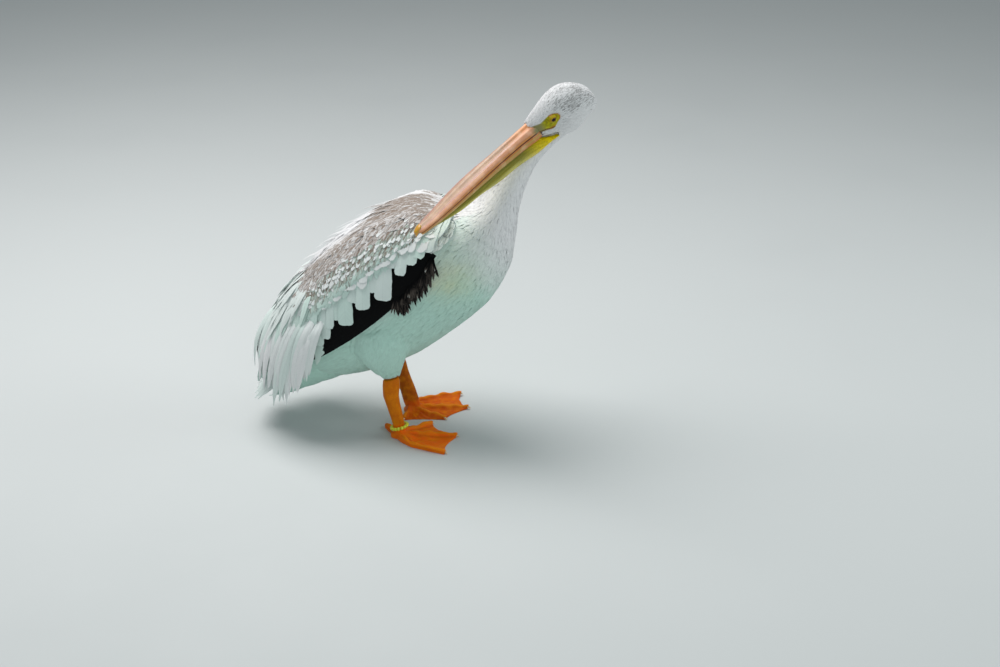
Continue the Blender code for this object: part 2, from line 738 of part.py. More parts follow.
def main():
    clear_scene()
    bird = empty("pelican", (0, 0, 0))
    turned = Euler((0, radians(HEAD_PITCH), radians(HEAD_TURN)))
    skull = empty("head_frame", HEAD_CENTRE, bird, turned)

    trunk, neck_lower, neck_upper = make_trunk_and_neck(bird)
    head = make_head(skull)
    upper, nail = make_upper_bill(skull), make_nail(skull)
    lower, pouch = make_lower_bill(skull), make_pouch(skull)
    eyes = [make_eye("eye_left", LEFT, skull), make_eye("eye_right", RIGHT, skull)]
    tail = make_tail(bird)

    make_room(upper, nail)
    make_room(lower, nail, upper)
    make_room(pouch, lower)
    make_room(head, upper, lower, pouch, *eyes)
    make_room(neck_upper, head, pouch, lower)
    make_room(tail, trunk)

    for side, word in ((RIGHT, "right"), (LEFT, "left")):
        wing = make_wing("wing_" + word, side, bird)
        flight = make_flight_feathers("flight_feathers_" + word, side, bird)
        tertials = make_tertials("tertials_" + word, side, bird)
        make_room(flight, trunk, tail)
        make_room(wing, trunk, neck_lower, flight)
        make_room(tertials, trunk, tail, flight, wing)

        thigh = make_thigh("thigh_" + word, side, bird)
        shank = make_shank("shank_" + word, side, bird)
        ankle, heading, _ = FEET[side]
        ground = empty("foot_frame_" + word, ankle, bird, (0, 0, radians(heading)))
        foot = make_foot("foot_" + word, side, ground)
        make_room(thigh, trunk, flight)
        make_room(shank, thigh)
        make_room(foot, shank)
        for toe in TOE_LENGTHS:
            claw = make_claw("claw_" + word + "_" + toe, side, toe, ground)
            make_room(claw, foot)
    make_band(bird)
    stand_on_origin(bird)


main()
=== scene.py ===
"""A white pelican preening, life size: skin, plumage, bill, eyes, legs and leg band over the solids."""

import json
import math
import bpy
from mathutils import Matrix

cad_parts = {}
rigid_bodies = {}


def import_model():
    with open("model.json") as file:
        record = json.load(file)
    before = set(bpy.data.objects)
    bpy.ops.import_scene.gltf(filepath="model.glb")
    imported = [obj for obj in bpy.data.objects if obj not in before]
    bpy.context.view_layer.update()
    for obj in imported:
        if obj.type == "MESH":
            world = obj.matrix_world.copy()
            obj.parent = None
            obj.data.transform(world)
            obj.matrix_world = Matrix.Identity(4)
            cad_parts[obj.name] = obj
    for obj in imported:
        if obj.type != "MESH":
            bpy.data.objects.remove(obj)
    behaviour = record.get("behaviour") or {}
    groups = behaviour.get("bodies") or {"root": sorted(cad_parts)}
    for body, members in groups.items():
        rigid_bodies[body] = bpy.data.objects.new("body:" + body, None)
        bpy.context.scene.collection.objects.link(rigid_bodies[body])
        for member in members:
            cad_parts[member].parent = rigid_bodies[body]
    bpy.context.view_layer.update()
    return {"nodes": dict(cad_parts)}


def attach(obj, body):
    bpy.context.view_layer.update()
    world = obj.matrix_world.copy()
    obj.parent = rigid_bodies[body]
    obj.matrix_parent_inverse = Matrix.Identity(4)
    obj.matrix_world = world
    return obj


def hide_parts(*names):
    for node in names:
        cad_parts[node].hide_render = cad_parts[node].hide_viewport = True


bl_info = {
    "name": "Preening Pelican",
    "version": (1, 0, 0),
    "blender": (4, 5, 0),
    "location": "View3D > Sidebar > Pelican",
    "description": "Dresses the pelican's solids in skin, feathers, horn, scaled legs and a beaded band",
    "category": "Object",
}

from contextlib import contextmanager

import bmesh
import bpy
import numpy as np
from mathutils import Vector
from mathutils.bvhtree import BVHTree

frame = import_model()

RIGHT, LEFT = -1, 1  # sign of Y
SIDE_NAMES = {RIGHT: "right", LEFT: "left"}
TO_LEFT = np.array([0.0, 1.0, 0.0])
LUCK = np.random.default_rng(7)

# ---- places, as the solids have them

def read(items, name, wide=3, kind=float):
    """One row of numbers for each item of a Blender collection."""
    values = np.empty(len(items) * wide, kind)
    items.foreach_get(name, values)
    return values.reshape(-1, wide)


def points_of(mesh):
    return read(mesh.vertices, "co")


def normals_of(mesh):
    return read(mesh.vertex_normals, "vector")


def node_points(node):
    """The vertices of a CAD node, in metres."""
    return points_of(frame["nodes"][node].data)


def unit(v):
    return v / np.maximum(np.linalg.norm(v, axis=-1, keepdims=True), 1e-9)


def stacked(*columns):
    """Rows made of columns that are as long as each other."""
    return np.stack(columns, 1)


def mix(a, b, t):
    return a + (b - a) * t


def smooth(low, high, x):
    """0 below low, 1 above high, and an even slope between; low may be the larger."""
    t = np.clip((x - low) / (high - low), 0.0, 1.0)
    return t * t * (3 - 2 * t)


def bump(t):
    """0 at both ends of 0..1 and 1 in the middle."""
    return np.sin(np.pi * np.clip(t, 0.0, 1.0))


def hill(*parts):
    """1 where all the parts are 0, falling away evenly to almost nothing where one of them is 2."""
    return np.exp(-sum(part**2 for part in parts))


HEAD_TURN, HEAD_PITCH = math.radians(-145.0), math.radians(33.0)
AHEAD = np.array([math.cos(HEAD_PITCH) * math.cos(HEAD_TURN), math.cos(HEAD_PITCH) * math.sin(HEAD_TURN),
                  -math.sin(HEAD_PITCH)])
LEFTWARD = np.array([-math.sin(HEAD_TURN), math.cos(HEAD_TURN), 0.0])
UPWARD = np.cross(AHEAD, LEFTWARD)
HEAD_CENTRE = (node_points("eye_left").mean(0) + node_points("eye_right").mean(0)) / 2
PLACED = HEAD_CENTRE - np.array([0.300, 0.015, 0.6897])  # how the solids were centred on the origin
EYE_RADIUS, EYE_OUT = 0.0085, 0.0245
LID_HALF_LENGTH, LID_HALF_HEIGHT = 0.0056, 0.0040
LID_LEAN = 0.12  # how far ahead the slit between the eyelids leans, for each metre up
LID_RADIUS, RIM_RADIUS = 0.0098, 0.0092  # of the skin over the eyeball, and of the rim of the slit
SLIT_SUNK = 0.0040  # from the eyeball's middle out to the skin behind the slit
SOCKET_RADIUS = 0.0115  # of the part of the face that is shaped over the eyeball

SPINE = (  # x, y, z, half width, reach of the back, reach of the belly: rump to nape, before centring
    (-0.268, 0.000, 0.143, 0.018, 0.016, 0.020),
    (-0.202, 0.000, 0.188, 0.074, 0.066, 0.098),
    (-0.104, 0.000, 0.255, 0.108, 0.126, 0.143),
    (0.007, 0.000, 0.340, 0.121, 0.150, 0.157),
    (0.108, 0.000, 0.402, 0.115, 0.130, 0.140),
    (0.148, 0.000, 0.430, 0.099, 0.096, 0.112),
    (0.177, 0.000, 0.464, 0.074, 0.054, 0.077),
    (0.219, 0.014, 0.541, 0.041, 0.036, 0.041),
    (0.260, 0.037, 0.607, 0.033, 0.031, 0.032),
    (0.325, 0.048, 0.666, 0.029, 0.028, 0.029),
    (0.372, 0.060, 0.697, 0.015, 0.015, 0.015),
)
ENVELOPE = (  # the outside of the folded wings, in the same terms
    (-0.300, 0.0, 0.112, 0.052, 0.034, 0.050),
    (-0.262, 0.0, 0.143, 0.086, 0.071, 0.080),
    (-0.214, 0.0, 0.178, 0.112, 0.102, 0.100),
    (-0.160, 0.0, 0.216, 0.130, 0.132, 0.120),
    (-0.104, 0.0, 0.255, 0.141, 0.148, 0.130),
    (-0.047, 0.0, 0.298, 0.148, 0.160, 0.140),
    (0.007, 0.0, 0.340, 0.150, 0.159, 0.140),
    (0.059, 0.0, 0.374, 0.147, 0.154, 0.135),
    (0.108, 0.0, 0.402, 0.137, 0.141, 0.120),
    (0.150, 0.0, 0.430, 0.116, 0.108, 0.100),
)
ROW_STEP = 0.0640  # metres along the body from one row of ENVELOPE to the next
WING_GIRTH = 0.150  # mean reach of the wing's outside from the body's middle
RUMP = np.array([-0.268, 0.0, 0.143]) + PLACED
BODY_WAY = np.array([0.8231, 0.0, 0.5679])  # from the rump to the chest
BODY_UP = np.array([-0.5679, 0.0, 0.8231])


def row_at(rows, t):
    """Rows at places t, 0 at the first row and len - 1 at the last, on a smooth curve through all of them."""
    rows = np.asarray(rows, float)
    t = np.clip(np.asarray(t, float), 0.0, len(rows) - 1.0)
    i = np.minimum(t.astype(int), len(rows) - 2)
    f = (t - i)[..., None]
    a, b, c, d = (rows[np.clip(i + k, 0, len(rows) - 1)] for k in (-1, 0, 1, 2))
    return b + 0.5 * f * (c - a + f * (2 * a - 5 * b + 4 * c - d + f * (3 * (b - c) + d - a)))


def wing_point(t, turn, extra, side):
    """Points over the folded wing at place t; turn goes from the back (0) by the flank (90) to the belly."""
    t, turn, extra = np.broadcast_arrays(np.asarray(t, float), turn, extra)
    row = row_at(ENVELOPE, t)
    ahead = row_at(ENVELOPE, t + 0.1)[..., :3] - row_at(ENVELOPE, t - 0.1)[..., :3]
    up = unit(np.cross(ahead, TO_LEFT))
    a = np.radians(turn)
    reach = np.where(np.cos(a) > 0, row[..., 4], row[..., 5]) + extra
    point = row[..., :3] + up * (np.cos(a) * reach)[..., None]
    point[..., 1] += side * np.sin(a) * (row[..., 3] + extra)
    return point + PLACED


def wing_line(t, turn, extra, side):
    """(points, normals) over the folded wing."""
    spine = wing_point(t, turn, extra, side)
    return spine, unit(wing_point(t, turn, extra + 0.001, side) - spine)


def body_chart(points):
    """(place t along the wing's rows, turn from the back in degrees) of points, the same for both sides."""
    from_rump = points - RUMP
    along = from_rump @ BODY_WAY
    turn = np.degrees(np.arctan2(np.abs(from_rump[..., 1]), from_rump @ BODY_UP))
    return (along + 0.064) / 0.0645, turn


def in_head(points):
    """Points in the head's own axes: ahead along the bill, left, and up, from between the eyes."""
    return (points - HEAD_CENTRE) @ np.stack([AHEAD, LEFTWARD, UPWARD], 1)


def from_head(points):
    return np.asarray(points) @ np.stack([AHEAD, LEFTWARD, UPWARD]) + HEAD_CENTRE


# ---- markings, shared by skin and coat

BARE_FACE = (  # outline of the bare skin round the eye and before it, ahead and up in the head's axes
    (-0.0165, -0.0030), (-0.0145, 0.0040), (-0.0080, 0.0082), (0.0030, 0.0105), (0.0140, 0.0085),
    (0.0240, 0.0062), (0.0360, 0.0092), (0.0420, 0.0110), (0.0560, 0.0110), (0.0560, -0.0085),
    (0.0360, -0.0110), (0.0210, -0.0148), (0.0080, -0.0215), (0.0030, -0.0205), (-0.0060, -0.0125),
    (-0.0130, -0.0090),
)
MOUTH_LINE = ((0.0030, -0.0205), (0.0210, -0.0120), (0.0360, -0.0080), (0.0560, -0.0050))


def stretches(points, line):
    """For each straight stretch of a line: its ends, and the distance of each 2-D point from it."""
    for a, b in zip(line, line[1:]):
        way, off = b - a, points - a
        t = np.clip(off @ way / (way @ way), 0.0, 1.0)
        yield a, b, np.linalg.norm(off - t[:, None] * way, axis=1)


def inside_by(points, outline):
    """How far 2-D points lie inside a closed outline, in metres, negative outside."""
    best, inside = np.full(len(points), 1.0), np.zeros(len(points), bool)
    for a, b, distance in stretches(points, np.array(outline + outline[:1])):
        best = np.minimum(best, distance)
        crosses = (a[1] > points[:, 1]) != (b[1] > points[:, 1])
        rise = b[1] - a[1] if b[1] != a[1] else 1e-9
        inside ^= crosses & (points[:, 0] < a[0] + (points[:, 1] - a[1]) / rise * (b - a)[0])
    return np.where(inside, best, -best)


def near_line(points, line):
    """Distance of 2-D points from an open line."""
    return np.min([distance for _, _, distance in stretches(points, np.array(line))], axis=0)


def bare_face(points):
    """How far points lie inside the bare face, in metres, or -1 away from the head."""
    local = in_head(points)
    near = (np.linalg.norm(local, axis=1) < 0.075) & (local[:, 0] > -0.03) & (np.abs(local[:, 1]) > 0.006)
    found = np.full(len(points), -1.0)
    found[near] = inside_by(local[near][:, (0, 2)], BARE_FACE)
    return found


def back_edge(t):
    """Turn at which the small brown coverts begin; a white strip is left along the back, but not in front."""
    return np.interp(t, (3.4, 4.3, 5.8, 7.0, 7.6), (4.0, 8.0, 18.0, 12.0, -6.0))


def brown_zone(t, turn):
    """Share of brown-grey in the small coverts, in the body's chart."""
    upper = back_edge(t)
    band = smooth(upper - 7, upper + 6, turn) * smooth(62, 46, turn)
    return band * smooth(1.6, 3.4, t) * smooth(9.4, 8.7, t)


GREY_PATCHES = (  # ahead and up from the eyes, their reaches and the share of grey tufts
    (-0.020, 0.016, 0.018, 0.009, 0.55),
    (-0.045, 0.000, 0.020, 0.013, 0.85),
    (-0.082, -0.014, 0.016, 0.016, 0.75),
    (-0.066, 0.018, 0.020, 0.018, 0.80),
    (-0.035, 0.034, 0.022, 0.014, 0.30),
)
CREAM_MIDDLE = np.array([0.135, 0.0, 0.395]) + PLACED  # of the cream tinge on the breast


def markings(points):
    """Brown, black, grey and cream shares at each point, and the share of painted shade, a green-grey tint on
    the underparts and the lower front of the body.
    """
    t, turn = body_chart(points)
    local = in_head(points)
    head = smooth(0.115, 0.085, np.linalg.norm(local + np.array([0.03, 0, 0]), axis=1))
    strip = smooth(0.012, 0.030, points[:, 1] - PLACED[1]) * smooth(34, 24, turn)
    brown = brown_zone(t, turn) * (1 - head) * (1 - 0.85 * strip)
    grey = sum(share * hill((local[:, 0] - x) / long, (local[:, 2] - z) / high)
               for x, z, long, high, share in GREY_PATCHES) * head
    off = points - CREAM_MIDDLE
    cream = hill(off[:, 0] / 0.050, off[:, 2] / 0.045) * smooth(0.02, 0.07, np.abs(off[:, 1]))
    # Painted shade: a green-grey tint on the underparts and the lower front of the body, standing in for
    # shade lit by light reflected from below.
    painted_shade = smooth(68, 112, turn) * smooth(9.8, 8.4, t) * (1 - head) * 0.9
    painted_shade = np.maximum(painted_shade, 0.60 * smooth(10.2, 8.6, t) * (turn > 40))
    return stacked(brown, 0 * brown, grey, 0.55 * cream), painted_shade * (points[:, 2] < 0.6)


# ---- meshes and attributes

def deselect():
    for obj in bpy.context.view_layer.objects:
        obj.select_set(False)


def make_active(obj):
    deselect()
    obj.select_set(True)
    bpy.context.view_layer.objects.active = obj


@contextmanager
def editing(obj):
    """Edit mode with the whole of the object's mesh selected."""
    make_active(obj)
    bpy.ops.object.mode_set(mode="EDIT")
    bpy.ops.mesh.select_all(action="SELECT")
    yield
    bpy.ops.object.mode_set(mode="OBJECT")


def face_outwards(obj):
    with editing(obj):
        bpy.ops.mesh.normals_make_consistent(inside=False)


def primitive(kind, name, **settings):
    """A new primitive, alone in the selection."""
    deselect()
    getattr(bpy.ops.mesh, f"primitive_{kind}_add")(**settings)
    bpy.context.object.name = name
    return bpy.context.object


def linked(name, mesh):
    obj = bpy.data.objects.new(name, mesh)
    bpy.context.scene.collection.objects.link(obj)
    return obj


def merged_copy(node, name, grow=0.0):
    """A copy of a CAD node with its doubles merged, swollen by grow so that neighbours fuse."""
    obj = linked(name, frame["nodes"][node].data.copy())
    with editing(obj):
        bpy.ops.mesh.remove_doubles(threshold=1e-5)
        bpy.ops.mesh.normals_make_consistent(inside=False)
        if grow:
            bpy.ops.transform.shrink_fatten(value=grow)
    return obj


def joined(objects, name):
    make_active(objects[0])
    for obj in objects:
        obj.select_set(True)
    bpy.ops.object.join()
    objects[0].name = name
    return objects[0]


def remesh(obj, voxel, rounds):
    """Gives a piece an even mesh with edges about voxel long, smoothed by some rounds."""
    make_active(obj)
    even, soft = obj.modifiers.new("Remesh", "REMESH"), obj.modifiers.new("Smooth", "SMOOTH")
    even.mode, even.voxel_size, even.adaptivity = "VOXEL", voxel, 0.0
    soft.factor, soft.iterations = 0.5, rounds
    for modifier in (even.name, soft.name):
        bpy.ops.object.modifier_apply(modifier=modifier)


def move_points(mesh, points):
    mesh.vertices.foreach_set("co", np.ascontiguousarray(points, float).ravel())
    mesh.update()


def put_attribute(mesh, name, values):
    """Stores per-vertex values: 3 numbers each as a vector, 4 as a colour."""
    values = np.ascontiguousarray(values, np.float32)
    kind, slot = ("FLOAT_VECTOR", "vector") if values.shape[1] == 3 else ("FLOAT_COLOR", "color")
    mesh.attributes.new(name, kind, "POINT").data.foreach_set(slot, values.ravel())


def build_mesh(name, points, quads, triangles=np.zeros((0, 3), int)):
    """A mesh object from arrays."""
    mesh = bpy.data.meshes.new(name)
    loops = np.concatenate([quads.ravel(), triangles.ravel()])
    starts = np.concatenate([np.arange(len(quads)) * 4, quads.size + np.arange(len(triangles)) * 3])
    mesh.vertices.add(len(points))
    mesh.vertices.foreach_set("co", np.ascontiguousarray(points, np.float32).ravel())
    mesh.loops.add(len(loops))
    mesh.loops.foreach_set("vertex_index", loops.astype(np.int32))
    mesh.polygons.add(len(starts))
    mesh.polygons.foreach_set("loop_start", starts.astype(np.int32))
    mesh.update(calc_edges=True)
    mesh.validate()
    return linked(name, mesh)


def finish_piece(obj, material, slot, replaced=(), smooth_angle=50.0):
    """Shades a piece, gives it its material, and ties it to the frame."""
    make_active(obj)
    bpy.ops.object.shade_smooth_by_angle(angle=math.radians(smooth_angle))
    obj.data.materials.clear()
    obj.data.materials.append(material)
    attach(obj, "root")
    if replaced:
        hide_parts(*replaced)
    return obj


# ---- materials

SOFT = "SMOOTHSTEP"
PALE_HORN, GROOVE_HORN, GAPE_LINE = "#EFC9A8", "#A87A7E", "#5E2E10"
POUCH_MOTTLE, PUPIL = "#6E6420", "#060404"


def linear(code, alpha=1.0):
    """An sRGB hex colour as linear RGBA."""
    parts = [int(code[i:i + 2], 16) / 255 for i in (1, 3, 5)]
    return tuple(c / 12.92 if c <= 0.04045 else ((c + 0.055) / 1.055) ** 2.4 for c in parts) + (alpha,)


class Finish:
    """A new material, with short ways to add the nodes it is made of."""

    def __init__(self, name):
        self.material = bpy.data.materials.new(name)
        self.material.use_nodes = True
        self.tree = self.material.node_tree
        self.tree.nodes.clear()

    def add(self, kind, sockets, **settings):
        """The outputs of a new node; sockets gives each input a value or another node's output."""
        node = self.tree.nodes.new("ShaderNode" + kind)
        for key, value in settings.items():
            setattr(node, key, value)
        for key, value in sockets.items():
            if isinstance(value, bpy.types.NodeSocket):
                self.tree.links.new(value, node.inputs[key])
            else:
                node.inputs[key].default_value = value
        return node.outputs

    def attribute(self, name):
        return self.add("Attribute", {}, attribute_name=name)

    def place(self):
        """The place on the model, in metres."""
        return self.add("TexCoord", {})["Object"]

    def numbers(self, name):
        """The three numbers of a vector attribute."""
        return self.add("SeparateXYZ", {0: self.attribute(name)["Vector"]})

    def channels(self, attribute):
        """Red, green and blue of a colour attribute."""
        return self.add("SeparateColor", {0: attribute["Color"]})

    def math(self, operation, *values, **settings):
        return self.add("Math", dict(enumerate(values)), operation=operation, **settings)[0]

    def times(self, a, b, **settings):
        return self.math("MULTIPLY", a, b, **settings)

    def ranged(self, value, start, end, low=0.0, high=1.0, curve="LINEAR"):
        """Takes start..end to low..high, and holds the value beyond both ends."""
        values = {0: value, 1: start, 2: end, 3: low, 4: high}
        return self.add("MapRange", values, interpolation_type=curve)[0]

    def noise(self, place, scale, detail):
        return self.add("TexNoise", {"Vector": place, "Scale": scale, "Detail": detail})["Fac"]

    def streaks(self, name, scales, detail, scale=1.0):
        """Noise drawn out along a vector attribute, finest along the number with the largest of scales."""
        values = {0: self.attribute(name)["Vector"], 1: scales}
        return self.noise(self.add("VectorMath", values, operation="MULTIPLY")[0], scale, detail)

    def cells(self, place, scale, feature="F1"):
        return self.add("TexVoronoi", {"Vector": place, "Scale": scale}, feature=feature)["Distance"]

    def blend(self, share, a, b, way="MIX"):
        return self.add("Mix", {0: share, 6: a, 7: b}, data_type="RGBA", blend_type=way)[2]

    def darkened(self, colour, share):
        return self.blend(1.0, colour, share, "MULTIPLY")

    def layered(self, colour, layers):
        """A colour with others laid over it in turn, each by its share."""
        for share, code in layers:
            colour = self.blend(share, colour, code)
        return colour

    def bump(self, height, strength, distance):
        return self.add("Bump", {"Height": height, "Strength": strength, "Distance": distance})[0]

    def shaded(self, colour, roughness, ior, bump=None, soft=None, **sockets):
        """Ends the material in a Principled shader. soft is how much light passes under the surface, how far
        for red, green and blue, and at what scale in metres; sockets names the others with underscores."""
        values = {"Base Color": colour, "Roughness": roughness, "IOR": ior}
        values.update({key.replace("_", " "): value for key, value in sockets.items()})
        if bump is not None:
            values["Normal"] = bump
        if soft is not None:
            values.update(zip(("Subsurface Weight", "Subsurface Radius", "Subsurface Scale"), soft))
        self.add("OutputMaterial", {0: self.add("BsdfPrincipled", values)[0]})
        return self.material


def plumage_material(name, colours, sheen=0.12, specular=0.30):
    """Feather keratin: soft barbs that scatter light broadly, so it is rough, with a faint sheen."""
    made = Finish(name)
    mark = made.attribute("mark")
    brown, black, grey = made.channels(mark)
    across, along, _ = made.numbers("vane")
    painted_shade, tone, own = made.numbers("shade")
    # Barbs slant back from the shaft. They are 0.3 mm apart, drawn 1.4 mm apart so that they show.
    slant = made.math("MULTIPLY_ADD", made.math("ABSOLUTE", across), -1.3, along)
    place = made.add("CombineXYZ", {0: slant, 1: made.times(own, 7.0)})[0]
    barb = made.ranged(made.noise(place, 700.0, 2.0), 0.3, 0.7)
    # Body colour: white, with painted shade in green-grey underneath, and patches of cream.
    white = made.blend(painted_shade, colours.white, colours.painted_shade)
    clouds = made.times(mark["Alpha"], made.noise(made.place(), 18.0, 3.0))
    base = made.blend(made.times(clouds, 1.7, use_clamp=True), white, colours.cream)
    dim = made.times(made.ranged(tone, 0.0, 1.0, 0.80, 1.0), made.ranged(barb, 0.0, 1.0, 0.93, 1.0))
    colour = made.darkened(base, dim)
    # Brown and dark shares are painted on the shaft side and fade to the edges, broken up by the barbs.
    for share, code, low, high, broken in (
            (brown, colours.brown, 0.05, 0.90, 0.22),
            (grey, colours.grey, 0.20, 0.85, 0.22),
            (black, colours.black, 0.25, 0.85, 0.06)):
        ragged = made.math("MULTIPLY_ADD", barb, broken, share)
        mask = made.ranged(ragged, low + broken / 2, high + broken / 2, curve=SOFT)
        colour = made.blend(mask, colour, code)
    roughness = made.ranged(black, 0.0, 1.0, 0.86, 0.60)
    return made.shaded(colour, roughness, 1.54, made.bump(barb, 0.35, 0.0004), Sheen_Weight=sheen,
                       Sheen_Roughness=0.5, Specular_IOR_Level=specular)


def skin_material(plumage, colours):
    """Bird skin: down-covered where feathers grow, and bare, wrinkled and slightly waxy on the face."""
    made = Finish("bird_skin")
    mark, face_mark = made.attribute("mark"), made.attribute("bare")
    brown, black, grey = made.channels(mark)
    bare, orange, lore = made.channels(face_mark)
    painted_shade, _, _ = made.numbers("shade")
    spot = made.place()
    fluff = made.noise(spot, 450.0, 3.0)
    # The down carries the same painted shade as the feathers over it.
    down = made.blend(painted_shade, plumage.white, plumage.painted_shade)
    colour = made.darkened(down, made.ranged(fluff, 0.3, 0.7, 0.72, 0.92))
    for share, code, most in ((mark["Alpha"], plumage.cream, 0.6), (brown, plumage.brown, 0.8),
                              (grey, plumage.grey, 0.5), (black, plumage.black, 1.0)):
        colour = made.blend(made.times(share, most, use_clamp=True), colour, code)
    # Bare skin: pebbled about every 0.8 mm, yellow, greener before the eye and orange at the corners.
    pebbles = made.cells(spot, 1250.0)
    patchy = made.ranged(made.noise(spot, 160.0, 4.0), 0.35, 0.65)
    face = made.layered(colours.face, (
        (patchy, colours.face_dark), (lore, colours.lore), (orange, colours.face_orange),
        (face_mark["Alpha"], colours.mouth)))
    colour = made.blend(bare, colour, face)
    height = made.add("Mix", {0: bare, 2: fluff, 3: pebbles})[0]
    roughness = made.ranged(bare, 0.0, 1.0, 0.9, 0.46)
    return made.shaded(colour, roughness, 1.42, made.bump(height, 0.5, 0.0003),
                       (0.10, (0.9, 0.5, 0.25), 0.002), Specular_IOR_Level=0.25)


def horn_material(name, base, far, flank, edge, base_end, groove, face=None, roughness=0.42):
    """Bill horn: keratin grown in long sheets, satin, finely lined along its length and worn paler in clouds.
    Attribute bill holds the share of the length, the share of the height, and metres across."""
    made = Finish(name)
    along, high, _ = made.numbers("bill")
    lines = made.streaks("bill", (6.0, 26.0, 900.0), 4.0)
    cloud = made.noise(made.place(), 55.0, 4.0)
    ridge = made.blend(made.ranged(along, 0.05, base_end, curve=SOFT), base, far)
    colour = made.layered(flank, (
        (made.ranged(high, 0.52, 0.80, curve=SOFT), ridge),
        (made.ranged(high, 0.42, 0.10, curve=SOFT), edge)))
    colour = made.darkened(colour, made.ranged(lines, 0.35, 0.70, 0.84, 1.06))
    # Paler clouds, the sunk line between ridge and flank, and the dark line where the jaws meet.
    above = made.ranged(made.math("SUBTRACT", high, 0.66), -0.05, 0.0)
    sunk = made.times(above, made.ranged(high, 0.66, 0.72, 1.0, 0.0))
    colour = made.layered(colour, (
        (made.ranged(cloud, 0.48, 0.72, 0.0, 0.45), linear(PALE_HORN)),
        (made.times(sunk, made.ranged(along, 0.10, 0.35, 0.0, groove)), linear(GROOVE_HORN)),
        (made.ranged(high, 0.035, 0.075, 1.0, 0.0), linear(GAPE_LINE))))
    if face is not None:  # the skin before the eye runs a little way on to the horn
        behind = made.ranged(along, 0.030, 0.062, 1.0, 0.0)
        colour = made.blend(made.times(behind, made.ranged(high, 0.35, 0.60, 1.0, 0.0)), colour, face)
    rough = made.ranged(cloud, 0.3, 0.7, roughness - 0.06, roughness + 0.12)
    return made.shaded(colour, rough, 1.55, made.bump(lines, 0.30, 0.0004), (0.12, (1.0, 0.45, 0.2), 0.002),
                       Coat_Weight=0.15, Coat_Roughness=0.35)


def pouch_material(colours):
    """Pouch skin: thin, elastic and wrinkled along its length, satin with a little light passing in."""
    made = Finish("pouch_skin")
    along, high, _ = made.numbers("bill")
    folds = made.streaks("bill", (9.0, 16.0, 200.0), 5.0)
    veins = made.noise(made.place(), 260.0, 5.0)
    ramp = made.tree.nodes.new("ShaderNodeValToRGB")
    made.tree.links.new(high, ramp.inputs[0])
    stops = ramp.color_ramp.elements
    stops[0].color, stops[1].color = colours.pouch_band, colours.pouch_top
    for position, code in ((0.22, colours.pouch_band), (0.45, colours.pouch), (0.75, colours.pouch_top)):
        stops.new(position).color = code
    throat = made.ranged(along, 0.05, 0.30, 1.0, 0.0, SOFT)
    colour = made.blend(throat, ramp.outputs[0], colours.throat)
    colour = made.darkened(colour, made.ranged(folds, 0.38, 0.62, 0.78, 1.08))
    colour = made.blend(made.ranged(veins, 0.5, 0.7, 0.0, 0.30), colour, linear(POUCH_MOTTLE))
    height = made.math("MULTIPLY_ADD", veins, 0.3, folds)
    return made.shaded(colour, 0.44, 1.42, made.bump(height, 0.6, 0.0009), (0.25, (1.0, 0.7, 0.25), 0.003),
                       Specular_IOR_Level=0.15)


def leg_material(colours):
    """Scaled leg skin: horny plates about 2.5 mm across on the shank and a fine pebbled web, satin and waxy.
    Attribute leg holds the share of web, 1 for a painted highlight on a toe's ridge and -1 for painted shade
    in the crease beside it, and the share of painted shade on the far leg."""
    made = Finish("scaled_leg_skin")
    web, toe, far = made.numbers("leg")
    spot = made.place()
    plates, pebbles = (made.cells(spot, scale, "DISTANCE_TO_EDGE") for scale in (400.0, 950.0))
    cloud = made.noise(spot, 75.0, 5.0)
    cell = made.ranged(made.add("Mix", {0: web, 2: plates, 3: pebbles})[0], 0.0, 0.10)
    # Painted shade: the far leg blends to the shaded copies of the shank and web.
    shank = made.blend(far, colours.shank, colours.shank_shaded)
    colour = made.layered(shank, (
        (web, made.blend(far, colours.web, colours.web_shaded)),
        (made.ranged(cloud, 0.42, 0.75, 0.0, 0.55), colours.gold_and_ridge_highlight),
        # Painted highlight on the toes' ridges, and painted shade in the creases beside them.
        (made.ranged(toe, 0.0, 1.0, 0.0, 0.55), colours.gold_and_ridge_highlight),
        (made.ranged(toe, 0.0, -1.0, 0.0, 0.60), colours.web_shaded)))
    colour = made.darkened(colour, made.ranged(cell, 0.0, 1.0, 0.86, 1.0))
    roughness = made.ranged(cloud, 0.3, 0.7, 0.40, 0.60)
    return made.shaded(colour, roughness, 1.45, made.bump(cell, 0.55, 0.0004), (0.15, (1.0, 0.4, 0.1), 0.002),
                       Specular_IOR_Level=0.15)


def streaked_material(name, code, dark, scale, roughness, coat=0.0):
    """A smooth finish with slight clouds of a darker tone; coat gives it a clear wet or polished skin."""
    made = Finish(name)
    cloud = made.noise(made.place(), scale, 4.0)
    colour = made.blend(made.ranged(cloud, 0.38, 0.68), code, dark)
    rough = made.ranged(cloud, 0.3, 0.7, roughness * 0.8, roughness * 1.25)
    return made.shaded(colour, rough, 1.5, made.bump(cloud, 0.15, 0.0002), Coat_Weight=coat,
                       Coat_Roughness=0.08)


def eye_material(colours):
    """A wet eye: a black pupil in a dark brown iris with fine rays, under a clear, fully glossy cornea."""
    made = Finish("eye_wet")
    out, _, _ = made.numbers("iris")  # the share out from the pupil
    rays = made.streaks("iris", (2.0, 9.0, 9.0), 4.0, 1.6)
    iris = made.blend(rays, colours.iris, colours.iris_pale)
    dark = made.math("MAXIMUM", made.ranged(out, 0.19, 0.22, 1.0, 0.0), made.ranged(out, 0.42, 0.50))
    return made.shaded(made.blend(dark, iris, linear(PUPIL)), 0.25, 1.34, Specular_IOR_Level=0.3,
                       Coat_Weight=0.55, Coat_Roughness=0.02, Coat_IOR=1.38)


# ---- settings

def length(name, text, default):
    return bpy.props.FloatProperty(name=name, description=text, default=default, min=0.0, unit="LENGTH")


def colour(name, text, code):
    """A colour, given as an sRGB hex code."""
    return bpy.props.FloatVectorProperty(name=name, description=text, default=linear(code), size=4,
                                         subtype="COLOR")


